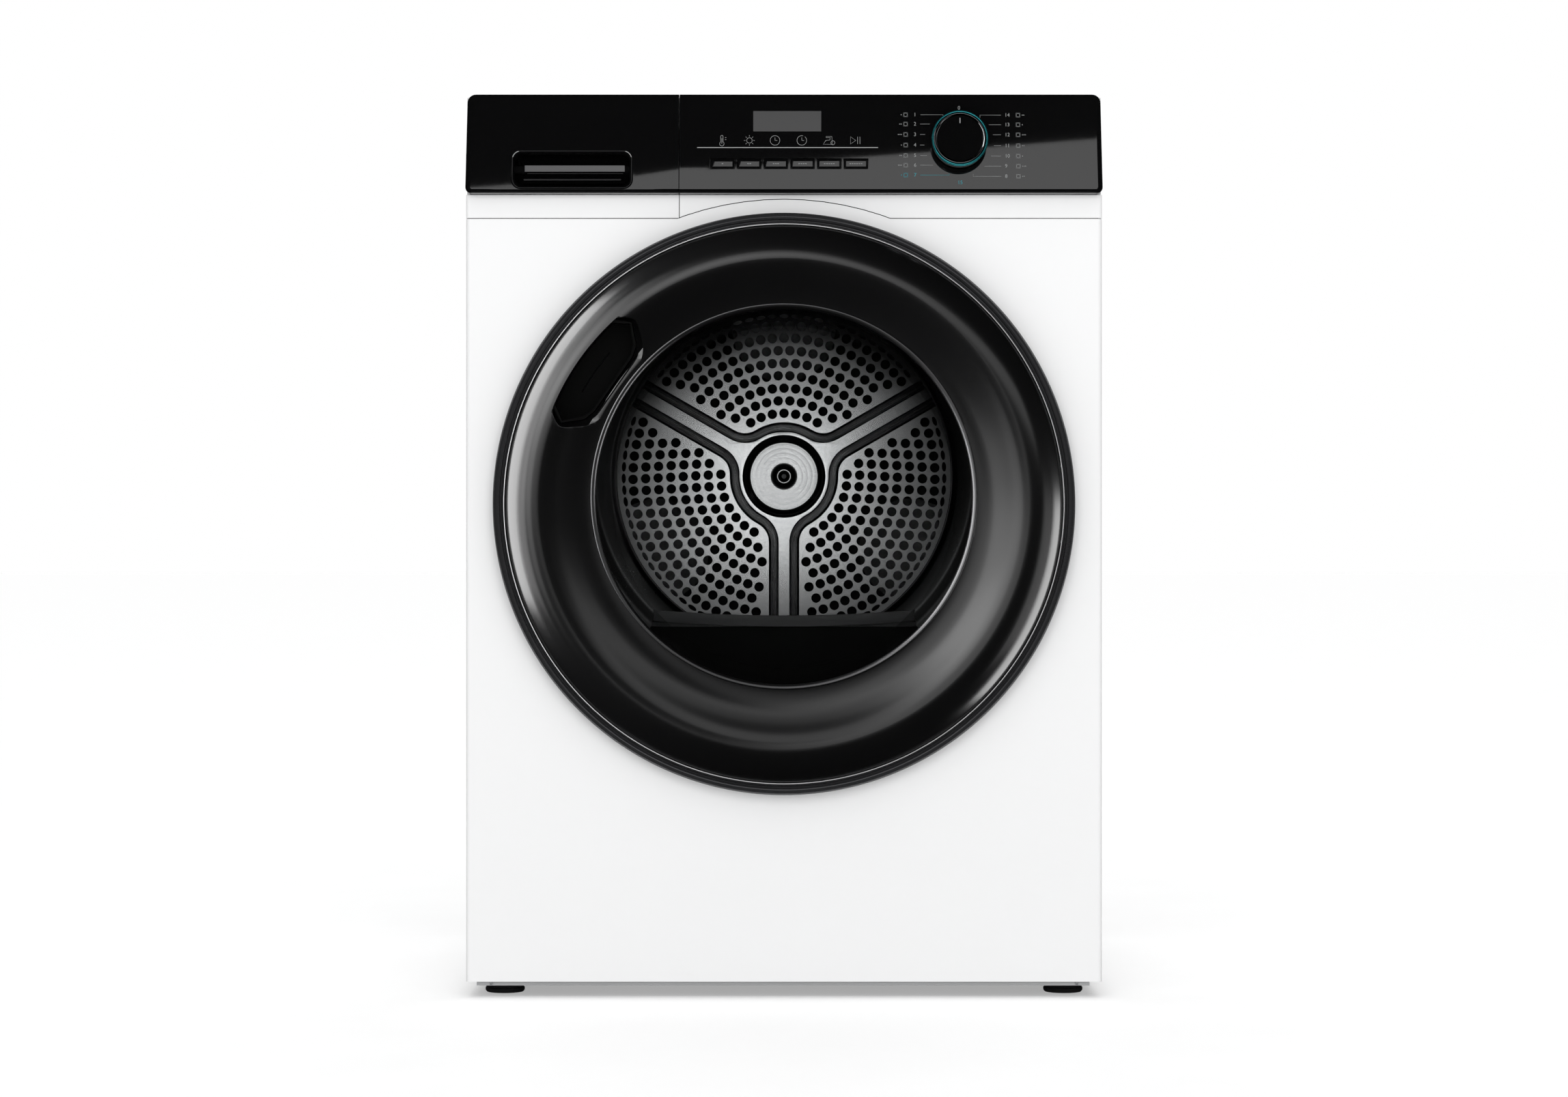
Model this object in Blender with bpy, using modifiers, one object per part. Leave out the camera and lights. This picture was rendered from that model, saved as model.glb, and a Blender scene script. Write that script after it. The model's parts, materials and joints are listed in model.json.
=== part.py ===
"""A front-loading heat-pump tumble dryer, modelled as the pieces that it comes apart into.

Metres, +Z up. The front faces -Y and +X is to the right as one stands before it. The origin is on the floor,
under the middle of the machine. Every piece is one object, and a moving piece has its origin on its axis."""

import math

import bmesh
import bpy
from mathutils import Vector

# Driving dimensions of the cabinet.
WIDTH = 0.595
HEIGHT = 0.845
FRONT_Y = -0.265  # face of the front panel
REAR_Y = 0.2852  # face of the rear panel
BACK_Y = 0.300  # rear face of the duct cover, the deepest point
HALF_W = WIDTH / 2
SHEET = 0.0012  # steel sheet
PLASTIC = 0.0025  # moulded walls
GAP = 0.0003  # clearance between neighbouring pieces
SEAM = 0.0006  # a joint line that shows
FACET_GAP = 0.0012  # clearance to the drum, whose round wall is made of flats

# Heights on the front, from the floor up.
FOOT_TOP = 0.0102
BASE_Z = 0.0108
PANEL_BOTTOM = 0.0144
STRIP_BOTTOM = 0.7292  # joint under the white strip
FASCIA_BOTTOM = 0.7513  # joint between the white strip and the black fascia
SIDE_TOP = 0.815
PAN_TOP = 0.075

# The joint between the water tank's front and the fascia.
TANK_SEAM_X = -0.0979

# The control panel leans back. Its plane passes through this point of its lower edge.
TILT = math.radians(6.5)
FACE_BOTTOM_Y = -0.279
FACE_Z = 0.798  # height of the panel's own origin
FACE_Y = FACE_BOTTOM_Y + (FACE_Z - FASCIA_BOTTOM) * math.tan(TILT)
FASCIA_BACK_Y = -0.252

# Door.
DOOR_Z = 0.4615
DOOR_R = 0.2716
DOOR_BACK_Y = -0.2664
RIDGE_Y = -0.300  # the door's ridge, the foremost point
DOOR_STEPS = 56  # flats round the ring, the dish and the frame
BOWL_STEPS = 40  # flats round the glass, its collar and the seal
RING_INNER = 0.2604
GLASS_Z = 0.4686  # the porthole sits a little above the door's centre
GLASS_R = 0.1772
GLASS_THICK = 0.0035
GLASS_FLANGE_Y = -0.279
MOUTH_R = 0.205
ARCH_R = 0.2851  # the front panel's arched top edge, about the door's centre
HINGE_X, HINGE_Y = 0.259, -0.2785
KNUCKLE_R = 0.0045
PIN_R = 0.0025

# Drum.
DRUM_Z = 0.4965
DRUM_R = 0.2875
DRUM_SHEET = 0.001
DRUM_FRONT_Y, DRUM_REAR_Y = -0.184, 0.2165
LIP_R = 0.270
LIFTER_COUNT = 3
ROLLER_R = 0.025
ROLLER_ANGLE = math.radians(32)
BULKHEAD_Y = -0.1925  # front face of the front bulkhead

# Drive.
MOTOR_X, MOTOR_Z = 0.10, 0.13
PULLEY_R = 0.0065
IDLER_X, IDLER_Z, IDLER_R = 0.030, 0.145, 0.018
ARM_X, ARM_Z = 0.062, 0.106
BELT_Y, BELT_WIDTH, BELT_THICK = 0.075, 0.012, 0.0012

# Controls.
BUTTON_COUNT = 6
BUTTON_X, BUTTON_PITCH = -0.0574, 0.0249
BUTTON_W, BUTTON_H, BUTTON_Z = 0.0227, 0.0091, 0.7790
DIAL_X, DIAL_Z = 0.1634, 0.799

GLAND_X, GLAND_Z = -0.225, 0.105

FOOT_PLACES = {
    "foot_front_left": (-0.2645, -0.215),
    "foot_front_right": (0.2645, -0.215),
    "foot_rear_left": (-0.2645, 0.245),
    "foot_rear_right": (0.2645, 0.245),
}

for old in list(bpy.data.objects):
    bpy.data.objects.remove(old, do_unlink=True)
PARTS = bpy.data.collections.new("tumble_dryer")
CUTTERS = bpy.data.collections.new("cutters")
for collection in (PARTS, CUTTERS):
    bpy.context.scene.collection.children.link(collection)
CUTTERS.hide_render = True


def material(name, colour, roughness, metallic=0.0):
    made = bpy.data.materials.new(name)
    made.use_nodes = True
    made.diffuse_color = (*colour, 1.0)
    shader = made.node_tree.nodes["Principled BSDF"]
    shader.inputs["Base Color"].default_value = (*colour, 1.0)
    shader.inputs["Roughness"].default_value = roughness
    shader.inputs["Metallic"].default_value = metallic
    return made


WHITE_PAINT = material("white_painted_steel", (0.88, 0.88, 0.88), 0.35)
WHITE_PLASTIC = material("white_plastic", (0.87, 0.87, 0.87), 0.4)
BLACK_GLOSS = material("black_gloss_plastic", (0.012, 0.012, 0.013), 0.08)
BLACK_PLASTIC = material("black_plastic", (0.02, 0.02, 0.021), 0.5)
GREY_PLASTIC = material("grey_plastic", (0.35, 0.36, 0.37), 0.5)
RING_GREY = material("dark_metallic_grey", (0.16, 0.16, 0.17), 0.3, 0.8)
SMOKED_GLASS = material("clear_bowl_glass", (0.1, 0.11, 0.11), 0.05)
DRUM_STEEL = material("drum_stainless", (0.62, 0.62, 0.62), 0.25, 1.0)
ZINC_STEEL = material("galvanised_steel", (0.55, 0.57, 0.58), 0.45, 0.9)
RUBBER = material("black_rubber", (0.03, 0.03, 0.03), 0.8)
ALUMINIUM = material("aluminium_fins", (0.72, 0.73, 0.74), 0.35, 1.0)
TEAL = material("teal_ring", (0.05, 0.45, 0.48), 0.25, 0.6)


def add(name, mesh, finish, place=(0, 0, 0), turn=(0, 0, 0), parent=None):
    """The object of a mesh or a curve, in the parts' collection, or among the cutters if it has no finish."""
    made = bpy.data.objects.new(name, mesh)
    made.location, made.rotation_euler, made.parent = place, turn, parent
    if finish is None:
        CUTTERS.objects.link(made)
        made.hide_render, made.display_type = True, "WIRE"
    else:
        PARTS.objects.link(made)
        mesh.materials.append(finish)
    return made


def smooth(made):
    made.data.shade_smooth()
    made.data.set_sharp_from_angle(angle=math.radians(35))


def box(name, low, high, finish=None, parent=None, bevel=0.0):
    """A box between two corners, with its origin at its middle."""
    low, high = Vector(low), Vector(high)
    shape = bmesh.new()
    bmesh.ops.create_cube(shape, size=1.0)
    bmesh.ops.scale(shape, vec=high - low, verts=shape.verts)
    mesh = bpy.data.meshes.new(name)
    shape.to_mesh(mesh)
    shape.free()
    made = add(name, mesh, finish, (low + high) / 2, parent=parent)
    if bevel:
        rounded = made.modifiers.new("round", "BEVEL")
        rounded.width, rounded.segments = bevel, 2
    return made


# How an outline or a turning axis is laid along each world axis.
TURNS = {
    "x": (math.pi / 2, 0, math.pi / 2),  # outline in (y, z)
    "y": (math.pi / 2, 0, 0),  # outline in (x, z), and its own +Z points to the front
    "z": (0, 0, 0),  # outline in (x, y)
}


def prism(name, outlines, axis, start, end, finish=None, parent=None):
    """A flat outline, with any holes after it, drawn out along an axis from start to end."""
    curve = bpy.data.curves.new(name, "CURVE")
    curve.dimensions, curve.fill_mode, curve.extrude = "2D", "BOTH", abs(end - start) / 2
    for outline in outlines:
        spline = curve.splines.new("POLY")
        spline.points.add(len(outline) - 1)
        for point, (u, v) in zip(spline.points, outline):
            point.co = (u, v, 0, 1)
        spline.use_cyclic_u = True
    drawn = add(name, curve, finish or WHITE_PLASTIC)
    mesh = bpy.data.meshes.new_from_object(drawn.evaluated_get(bpy.context.evaluated_depsgraph_get()))
    bpy.data.objects.remove(drawn)
    bpy.data.curves.remove(curve)
    shape = bmesh.new()
    shape.from_mesh(mesh)
    bmesh.ops.remove_doubles(shape, verts=shape.verts, dist=1e-6)
    bmesh.ops.recalc_face_normals(shape, faces=shape.faces)
    shape.to_mesh(mesh)
    shape.free()
    mesh.materials.clear()
    middle = (start + end) / 2
    place = {"x": (middle, 0, 0), "y": (0, middle, 0), "z": (0, 0, middle)}[axis]
    return add(name, mesh, finish, place, TURNS[axis], parent)


def turned(name, profile, centre, steps, finish=None, axis="y", parent=None):
    """A solid of revolution. The profile is (radius, place along the axis) round the section, from a point of
    the axis if it reaches that. A turned part along y counts its places along +Y, to the rear."""
    sign = -1 if axis == "y" else 1
    section = [(r, sign * along) for r, along in profile]
    area = sum(a[0] * b[1] - b[0] * a[1] for a, b in zip(section, section[1:] + section[:1]))
    if area > 0:
        section.reverse()
    closed = min(r for r, _ in section) > 1e-6
    mesh = bpy.data.meshes.new(name)
    edges = [(i, i + 1) for i in range(len(section) - 1)]
    if closed:
        edges.append((len(section) - 1, 0))
    mesh.from_pydata([(r, 0, along) for r, along in section], edges, [])
    made = add(name, mesh, finish, centre, TURNS[axis] if axis == "y" else (0, 0, 0), parent)
    screw = made.modifiers.new("turn", "SCREW")
    screw.steps = screw.render_steps = steps
    screw.use_merge_vertices, screw.merge_threshold = True, 1e-5
    screw.use_smooth_shade = True
    return made


def wall_profile(points, thickness):
    """The closed section of a wall: an open run of points, and the same run set off to its left."""
    lines = [(Vector(b) - Vector(a)).normalized() for a, b in zip(points, points[1:])]
    normals = [Vector((-line.y, line.x)) for line in lines]
    offset = []
    for i, point in enumerate(points):
        before, after = normals[max(i - 1, 0)], normals[min(i, len(normals) - 1)]
        mitre = (before + after).normalized()
        shifted = Vector(point) + mitre * thickness / mitre.dot(before)
        offset.append((0.0 if point[0] == 0 else shifted.x, shifted.y))
    return list(points) + offset[::-1]


def folded_sheet(name, path, axis, start, end, thickness, finish):
    """Sheet folded along a path and drawn out along an axis. The material lies to the left of the path."""
    shape = bmesh.new()
    rails = []
    for along in (start, end):
        rails.append([shape.verts.new(place_on(axis, u, v, along)) for u, v in path])
    for i in range(len(path) - 1):
        shape.faces.new((rails[0][i], rails[0][i + 1], rails[1][i + 1], rails[1][i]))
    mesh = bpy.data.meshes.new(name)
    shape.to_mesh(mesh)
    shape.free()
    made = add(name, mesh, finish)
    wall = made.modifiers.new("wall", "SOLIDIFY")
    wall.thickness, wall.offset, wall.use_even_offset = thickness, -1.0, True
    return made


def place_on(axis, u, v, along):
    return {"x": (along, u, v), "y": (u, along, v), "z": (u, v, along)}[axis]


def boolean(target, other, operation="DIFFERENCE"):
    cut = target.modifiers.new(other.name, "BOOLEAN")
    cut.operation, cut.object, cut.solver = operation, other, "EXACT"


def arc(centre, radius, start, end, count):
    """Points along an arc, with the angles in degrees."""
    angles = [math.radians(start + (end - start) * i / count) for i in range(count + 1)]
    return [(centre[0] + radius * math.cos(a), centre[1] + radius * math.sin(a)) for a in angles]


def circle(centre, radius, count):
    return arc(centre, radius, 0, 360, count)[:-1]


def rounded_rectangle(low, high, radius, count=3):
    (x0, y0), (x1, y1) = low, high
    corners = [(x1 - radius, y0 + radius, -90), (x1 - radius, y1 - radius, 0)]
    corners += [(x0 + radius, y1 - radius, 90), (x0 + radius, y0 + radius, 180)]
    return [p for x, y, a in corners for p in arc((x, y), radius, a, a + 90, count)]


def cylinder_cutter(name, centre, radius, start, end, steps=24, parent=None, axis="y"):
    return turned(name, [(0, start), (radius, start), (radius, end), (0, end)], centre, steps, None, axis, parent)


# ---------------------------------------------------------------- cabinet


def make_cabinet():
    make_base_pan()
    flange_x = 0.2805
    side_front, side_back = -0.2514, 0.2838
    left = [(-flange_x, side_back), (-HALF_W, side_back), (-HALF_W, side_front), (-flange_x, side_front)]
    right = [(-x, y) for x, y in reversed(left)]
    for name, path in (("left_side_panel", left), ("right_side_panel", right)):
        folded_sheet(name, path, "z", PANEL_BOTTOM, SIDE_TOP, SHEET, WHITE_PAINT)
    make_front_panel()
    make_rear()
    make_worktop()
    make_bulkheads()


def make_base_pan():
    pan = box("base_pan", (-0.2865, -0.2495, BASE_Z), (0.2865, 0.282, PAN_TOP), BLACK_PLASTIC)
    floor = BASE_Z + 0.003
    boolean(pan, box("pan_hollow", (-0.2835, -0.2465, floor), (0.2835, 0.279, PAN_TOP + 0.02)))
    for name, (x, y) in FOOT_PLACES.items():
        hole = cylinder_cutter(name + "_hole", (x, y, 0), 0.0045, 0.0, 0.02, 12, axis="z")
        boolean(pan, hole)


def make_front_panel():
    edge_r = 0.004
    back = -0.252
    corner = arc((-HALF_W + edge_r, FRONT_Y + edge_r), edge_r, 180, 270, 4)
    left = [(-HALF_W, back)] + corner
    path = left + [(-x, y) for x, y in reversed(left)]
    panel = folded_sheet("front_panel", path, "z", PANEL_BOTTOM, DOOR_Z + ARCH_R, SHEET, WHITE_PAINT)
    above = box("above_panel", (-0.32, -0.29, STRIP_BOTTOM - SEAM), (0.32, -0.23, 0.80))
    boolean(above, cylinder_cutter("arch", (0, 0, DOOR_Z), ARCH_R, -0.30, -0.22, 96))
    boolean(panel, above)
    boolean(panel, cylinder_cutter("panel_mouth", (0, 0, GLASS_Z), 0.2125, -0.28, -0.24, 48))
    boolean(panel, box("latch_slot", (-0.2475, -0.28, 0.4465), (-0.2315, -0.255, 0.4765)))
    for i, (low, high) in enumerate(LUG_HEIGHTS):
        slot = box(f"hinge_slot_{i}", (0.2305, -0.28, low - 0.0006), (0.2415, -0.255, high + 0.0006))
        boolean(panel, slot)


def make_rear():
    panel = prism(
        "rear_panel",
        [rounded_rectangle((-0.297, 0.015), (0.297, SIDE_TOP), 0.002, 1), circle((0, DRUM_Z), 0.2, 32)],
        "y",
        REAR_Y - 0.001,
        REAR_Y,
        ZINC_STEEL,
    )
    boolean(panel, cylinder_cutter("fan_opening", (MOTOR_X, 0, MOTOR_Z), 0.07, 0.27, 0.30))
    boolean(panel, cylinder_cutter("gland_opening", (GLAND_X, 0, GLAND_Z), 0.0095, 0.27, 0.30, 16))
    cover = prism("rear_duct_cover", [duct_outline(0)], "y", REAR_Y + GAP, BACK_Y, ZINC_STEEL)
    rounded = cover.modifiers.new("round", "BEVEL")
    rounded.width, rounded.segments, rounded.limit_method = 0.003, 2, "ANGLE"
    rounded.angle_limit = math.radians(60)
    boolean(cover, prism("duct_hollow", [duct_outline(0.004)], "y", 0.27, BACK_Y - PLASTIC))
    turned(
        "mains_gland",
        [(0.004, 0.2965), (0.0075, 0.2965), (0.0085, 0.2955), (0.0085, 0.2885), (0.014, 0.2880)]
        + [(0.014, REAR_Y + GAP), (0.009, REAR_Y + GAP), (0.009, 0.276), (0.004, 0.276)],
        (GLAND_X, 0, GLAND_Z),
        12,
        BLACK_PLASTIC,
    )


def duct_outline(inset):
    """A round cover over the rear of the drum, with a neck down to the fan."""
    radius = 0.235 - inset
    left, right, bottom = 0.01 + inset, 0.19 - inset, 0.045 + inset
    start = -math.degrees(math.acos(right / radius))
    end = 360 - math.degrees(math.acos(left / radius))
    return arc((0, DRUM_Z), radius, start, end, 28) + [(left, bottom), (right, bottom)]


def make_worktop():
    outer = rounded_rectangle((-HALF_W, -0.2514), (HALF_W, REAR_Y), 0.003)
    frame = prism("worktop_frame", [outer], "z", SIDE_TOP + SEAM, HEIGHT - 0.0015, WHITE_PLASTIC)
    rim, ledge = 0.008, 0.020
    low, high = (-HALF_W, -0.2514), (HALF_W, REAR_Y)
    board_z = 0.8265

    def inset(by, z0, z1):
        return (low[0] + by, low[1] + by, z0), (high[0] - by, high[1] - by, z1)

    boolean(frame, box("board_seat", *inset(rim, board_z - GAP, 0.86)))
    boolean(frame, box("under_board", *inset(ledge, 0.80, 0.86)))
    box("worktop_board", *inset(rim + GAP, board_z, HEIGHT), WHITE_PAINT)


def make_bulkheads():
    plate = prism(
        "front_bulkhead",
        [rounded_rectangle((-0.28, PAN_TOP + 0.0015), (0.28, 0.735), 0.005, 1), circle((0, GLASS_Z), 0.2065, 40)],
        "y",
        BULKHEAD_Y,
        BULKHEAD_Y + 0.003,
        GREY_PLASTIC,
    )
    flange_r, front = 0.222, FRONT_Y + SHEET + 0.0004
    tunnel = turned(
        "tunnel",
        [(MOUTH_R, front), (flange_r, front), (flange_r, front + 0.002), (0.208, front + 0.002)]
        + [(0.208, BULKHEAD_Y + 0.0025), (MOUTH_R, BULKHEAD_Y + 0.0025)],
        (0, 0, GLASS_Z),
        40,
    )
    boolean(plate, tunnel, "UNION")
    for side, (x, z) in roller_places().items():
        axle = cylinder_cutter(side + "_axle", (x, 0, z), 0.004, BULKHEAD_Y + 0.001, -0.156, 16)
        boolean(plate, axle, "UNION")

    rear = box("rear_bulkhead", (-0.28, 0.2225, PAN_TOP + 0.0015), (0.28, 0.224, 0.80), ZINC_STEEL)
    for i, degrees in enumerate((90, 210, 330)):
        x, z = polar((0, DRUM_Z), 0.155, degrees)
        boolean(rear, cylinder_cutter(f"air_window_{i}", (x, 0, z), 0.055, 0.20, 0.25, 18))
    boolean(rear, cylinder_cutter("rotor_opening", (MOTOR_X, 0, MOTOR_Z), 0.0115, 0.20, 0.25, 12))
    seat = cylinder_cutter("bearing_seat", (0, 0, DRUM_Z), 0.026, 0.218, 0.2285, 20)
    boolean(seat, cylinder_cutter("bearing_bore", (0, 0, DRUM_Z), 0.0130, 0.21, 0.24, 20))
    boolean(rear, cylinder_cutter("seat_opening", (0, 0, DRUM_Z), 0.020, 0.20, 0.25, 20))
    boolean(rear, seat, "UNION")


def polar(centre, radius, degrees):
    angle = math.radians(degrees)
    return centre[0] + radius * math.cos(angle), centre[1] + radius * math.sin(angle)


def roller_places():
    reach = DRUM_R + 0.0005 + ROLLER_R
    x, z = reach * math.sin(ROLLER_ANGLE), DRUM_Z - reach * math.cos(ROLLER_ANGLE)
    return {"left": (-x, z), "right": (x, z)}


def make_feet():
    profile = [(0, 0), (0.0180, 0), (0.0186, 0.001), (0.0186, 0.0075), (0.0150, FOOT_TOP)]
    profile += [(0.004, FOOT_TOP), (0.004, 0.030), (0, 0.030)]
    for name, (x, y) in FOOT_PLACES.items():
        turned(name, profile, (x, y, 0), 12, BLACK_PLASTIC, "z")


# ---------------------------------------------------------------- control panel and water tank


def fascia_profile(thickness_front=0.0):
    """The side view (y, z) of the black panel: a leaning face with rounded edges above and below."""
    top_y = FACE_BOTTOM_Y + (HEIGHT - FASCIA_BOTTOM) * math.tan(TILT)
    low, high = FASCIA_BOTTOM + thickness_front, HEIGHT - thickness_front
    face_low, face_high = FACE_BOTTOM_Y + thickness_front, top_y + thickness_front
    back = FASCIA_BACK_Y + (0.02 if thickness_front else 0)
    lower = [(back, low), (face_low + 0.004, low), (face_low + 0.0012, low + 0.0018), (face_low + 0.0005, low + 0.006)]
    upper = [(face_high, high - 0.004), (face_high + 0.0013, high - 0.0013), (face_high + 0.004, high), (back, high)]
    return lower + upper


def make_fascia():
    face = bpy.data.objects.new("face_plane", None)
    face.location, face.rotation_euler = (0, FACE_Y, FACE_Z), (-TILT, 0, 0)
    PARTS.objects.link(face)
    right = HALF_W
    left = TANK_SEAM_X + SEAM / 2
    fascia = prism("fascia_black", [fascia_profile()], "x", left, right, BLACK_GLOSS)
    inner = prism("fascia_hollow", [fascia_profile(PLASTIC)], "x", left + PLASTIC, right - PLASTIC)
    boolean(fascia, inner)
    strip = box(
        "fascia_white_strip",
        (left, FRONT_Y - 0.0005, STRIP_BOTTOM),
        (right, FASCIA_BACK_Y, FASCIA_BOTTOM - GAP),
        WHITE_PLASTIC,
    )
    wall = PLASTIC + 0.0005
    hollow = box(
        "strip_hollow",
        (left + wall, FRONT_Y + wall, STRIP_BOTTOM - 0.01),
        (right - wall, -0.23, FASCIA_BOTTOM - wall),
    )
    boolean(strip, hollow)
    arch_r = ARCH_R + SEAM
    boolean(strip, cylinder_cutter("strip_arch", (0, 0, DOOR_Z), arch_r, -0.30, -0.22, 96))

    make_display(face, fascia)
    make_buttons(face, fascia)
    make_dial(face, fascia)
    unit = box("control_unit", (-0.085, -0.2485, 0.764), (0.285, -0.205, 0.812), GREY_PLASTIC)
    boolean(unit, box("unit_hollow", (-0.083, -0.2465, 0.766), (0.283, -0.19, 0.81)))


def on_face(x, z):
    """A point given by its world x and height, in the panel's own axes."""
    return x, (z - FACE_Z) / math.cos(TILT)


def make_display(face, fascia):
    (left, low), (right, high) = on_face(-0.0288, 0.8095), on_face(0.0348, 0.8289)
    box("display_window", (left, 0.0002, low), (right, 0.0022, high), SMOKED_GLASS, face)
    opening = box(
        "display_opening", (left - GAP, -0.01, low - GAP), (right + GAP, 0.012, high + GAP), parent=face
    )
    boolean(fascia, opening)


def make_buttons(face, fascia):
    for i in range(BUTTON_COUNT):
        x, z = on_face(BUTTON_X + i * BUTTON_PITCH, BUTTON_Z)
        half_w, half_h = BUTTON_W / 2, BUTTON_H / 2
        low, high = (x - half_w, -0.0004, z - half_h), (x + half_w, 0.0046, z + half_h)
        box(f"button_{i + 1}", low, high, BLACK_GLOSS, face, bevel=0.0006)
        spare = GAP + 0.0002
        opening = box(
            f"button_opening_{i + 1}",
            (low[0] - spare, -0.01, low[2] - spare),
            (high[0] + spare, 0.012, high[2] + spare),
            parent=face,
        )
        boolean(fascia, opening)


def make_dial(face, fascia):
    x, z = on_face(DIAL_X, DIAL_Z)
    knob = [(0, -0.0190), (0.0150, -0.0195), (0.0216, -0.0190), (0.0216, -0.0165), (0.0255, -0.0165)]
    knob += [(0.0262, -0.0005), (0.0031, -0.0005), (0.0031, 0.0100), (0, 0.0100)]
    turned("dial_knob", knob, (x, 0, z), 24, BLACK_GLOSS, parent=face)
    ring = [(0.0219, -0.0168), (0.0219, -0.0198), (0.0255, -0.0198), (0.0264, -0.0185), (0.0264, -0.0168)]
    turned("dial_ring", ring, (x, 0, z), 24, TEAL, parent=face)
    boolean(fascia, cylinder_cutter("dial_opening", (x, 0, z), 0.0036, -0.01, 0.012, 16, face))


TANK_OUTLINE = [(-0.279, 0.743), (-0.279, 0.808), (-0.109, 0.808), (-0.109, 0.780), (-0.176, 0.743)]
TANK_FRONT_Y, TANK_REAR_Y = -0.2515, 0.185
GRIP_LOW, GRIP_HIGH = (-0.2530, 0.7567), (-0.1425, 0.7907)
GRIP_BAR = (0.7702, 0.7772)  # lower and upper edge of the grip bar


def make_tank():
    left, right = -HALF_W, TANK_SEAM_X - SEAM / 2
    black = prism("tank_front_black", [fascia_profile()], "x", left, right, BLACK_GLOSS)
    boolean(black, prism("tank_front_hollow", [fascia_profile(PLASTIC)], "x", left + PLASTIC, right - PLASTIC))
    opening = [rounded_rectangle(GRIP_LOW, GRIP_HIGH, 0.007)]
    boolean(black, prism("grip_opening", opening, "y", -0.30, -0.27))
    white = box(
        "tank_front_white",
        (left, FRONT_Y - 0.0005, STRIP_BOTTOM),
        (right, FASCIA_BACK_Y, FASCIA_BOTTOM - GAP),
        WHITE_PLASTIC,
    )
    wall = PLASTIC + 0.0005
    boolean(
        white,
        box(
            "tank_strip_hollow",
            (left + wall, FRONT_Y + wall, STRIP_BOTTOM + wall),
            (right - wall, -0.23, FASCIA_BOTTOM - wall),
        ),
    )
    make_grip()
    tank = prism("tank_body", [TANK_OUTLINE], "y", TANK_FRONT_Y, TANK_REAR_Y, GREY_PLASTIC)
    wall = 0.002
    (x0, z0), _, (x1, _), (_, z2), (x3, _) = TANK_OUTLINE
    inside = [(x0 + wall, z0 + wall), (x0 + wall, 0.83), (x1 - wall, 0.83), (x1 - wall, z2 + wall)]
    inside += [(x3 - wall, z0 + wall)]
    boolean(tank, prism("tank_inside", [inside], "y", TANK_FRONT_Y + wall, TANK_REAR_Y - wall))
    sleeve = [(-0.1055, 0.812), (-0.1055, 0.7785), (-0.1768, 0.7395), (-0.2825, 0.7395), (-0.2825, 0.812)]
    folded_sheet("tank_sleeve", sleeve, "y", -0.2495, 0.20, -0.0015, GREY_PLASTIC)


def make_grip():
    """The finger cup of the tank's front, with a bar across it to pull on."""
    spare, wall = 0.0008, 0.002
    low = (GRIP_LOW[0] - wall, GRIP_LOW[1] - wall)
    high = (GRIP_HIGH[0] + wall, GRIP_HIGH[1] + wall)
    front, back = -0.2735, -0.2535
    cup = prism("tank_grip", [rounded_rectangle(low, high, 0.008)], "y", front, back, BLACK_PLASTIC)
    inner = rounded_rectangle(
        (GRIP_LOW[0] + spare, GRIP_LOW[1] + spare), (GRIP_HIGH[0] - spare, GRIP_HIGH[1] - spare), 0.006
    )
    boolean(cup, prism("grip_hollow", [inner], "y", -0.30, back - wall))
    bar = box("grip_bar", (GRIP_LOW[0], -0.2732, GRIP_BAR[0]), (GRIP_HIGH[0], -0.2702, GRIP_BAR[1]))
    boolean(cup, bar, "UNION")
    keep_out = prism("behind_tank_front", [fascia_front_offset()], "x", -0.32, -0.08)
    boolean(cup, keep_out)


def fascia_front_offset():
    """All that lies before the inner face of the black panel's front wall."""
    slope = math.tan(TILT)
    wall_y = FACE_BOTTOM_Y + PLASTIC + GAP + 0.0003
    low, high = FASCIA_BOTTOM - 0.01, HEIGHT + 0.01
    y_low = wall_y + (low - FASCIA_BOTTOM) * slope
    y_high = wall_y + (high - FASCIA_BOTTOM) * slope
    return [(-0.32, low), (y_low, low), (y_high, high), (-0.32, high)]


# ---------------------------------------------------------------- door

LUG_HEIGHTS = [(0.4275, 0.4375), (0.4855, 0.4955)]
HINGE_LOW, HINGE_HIGH = 0.4250, 0.4980
DISH_FRONT = [(0.2598, -0.2702), (0.2598, -0.2856), (0.2430, -0.2965), (0.2300, RIDGE_Y)]
DISH_FRONT += [(0.2170, -0.2975), (0.1860, -0.2845), (0.1600, -0.2838)]
POCKET_INNER, POCKET_OUTER = 0.1955, 0.2320
POCKET_ANGLES = (130.5, 159.5)


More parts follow.
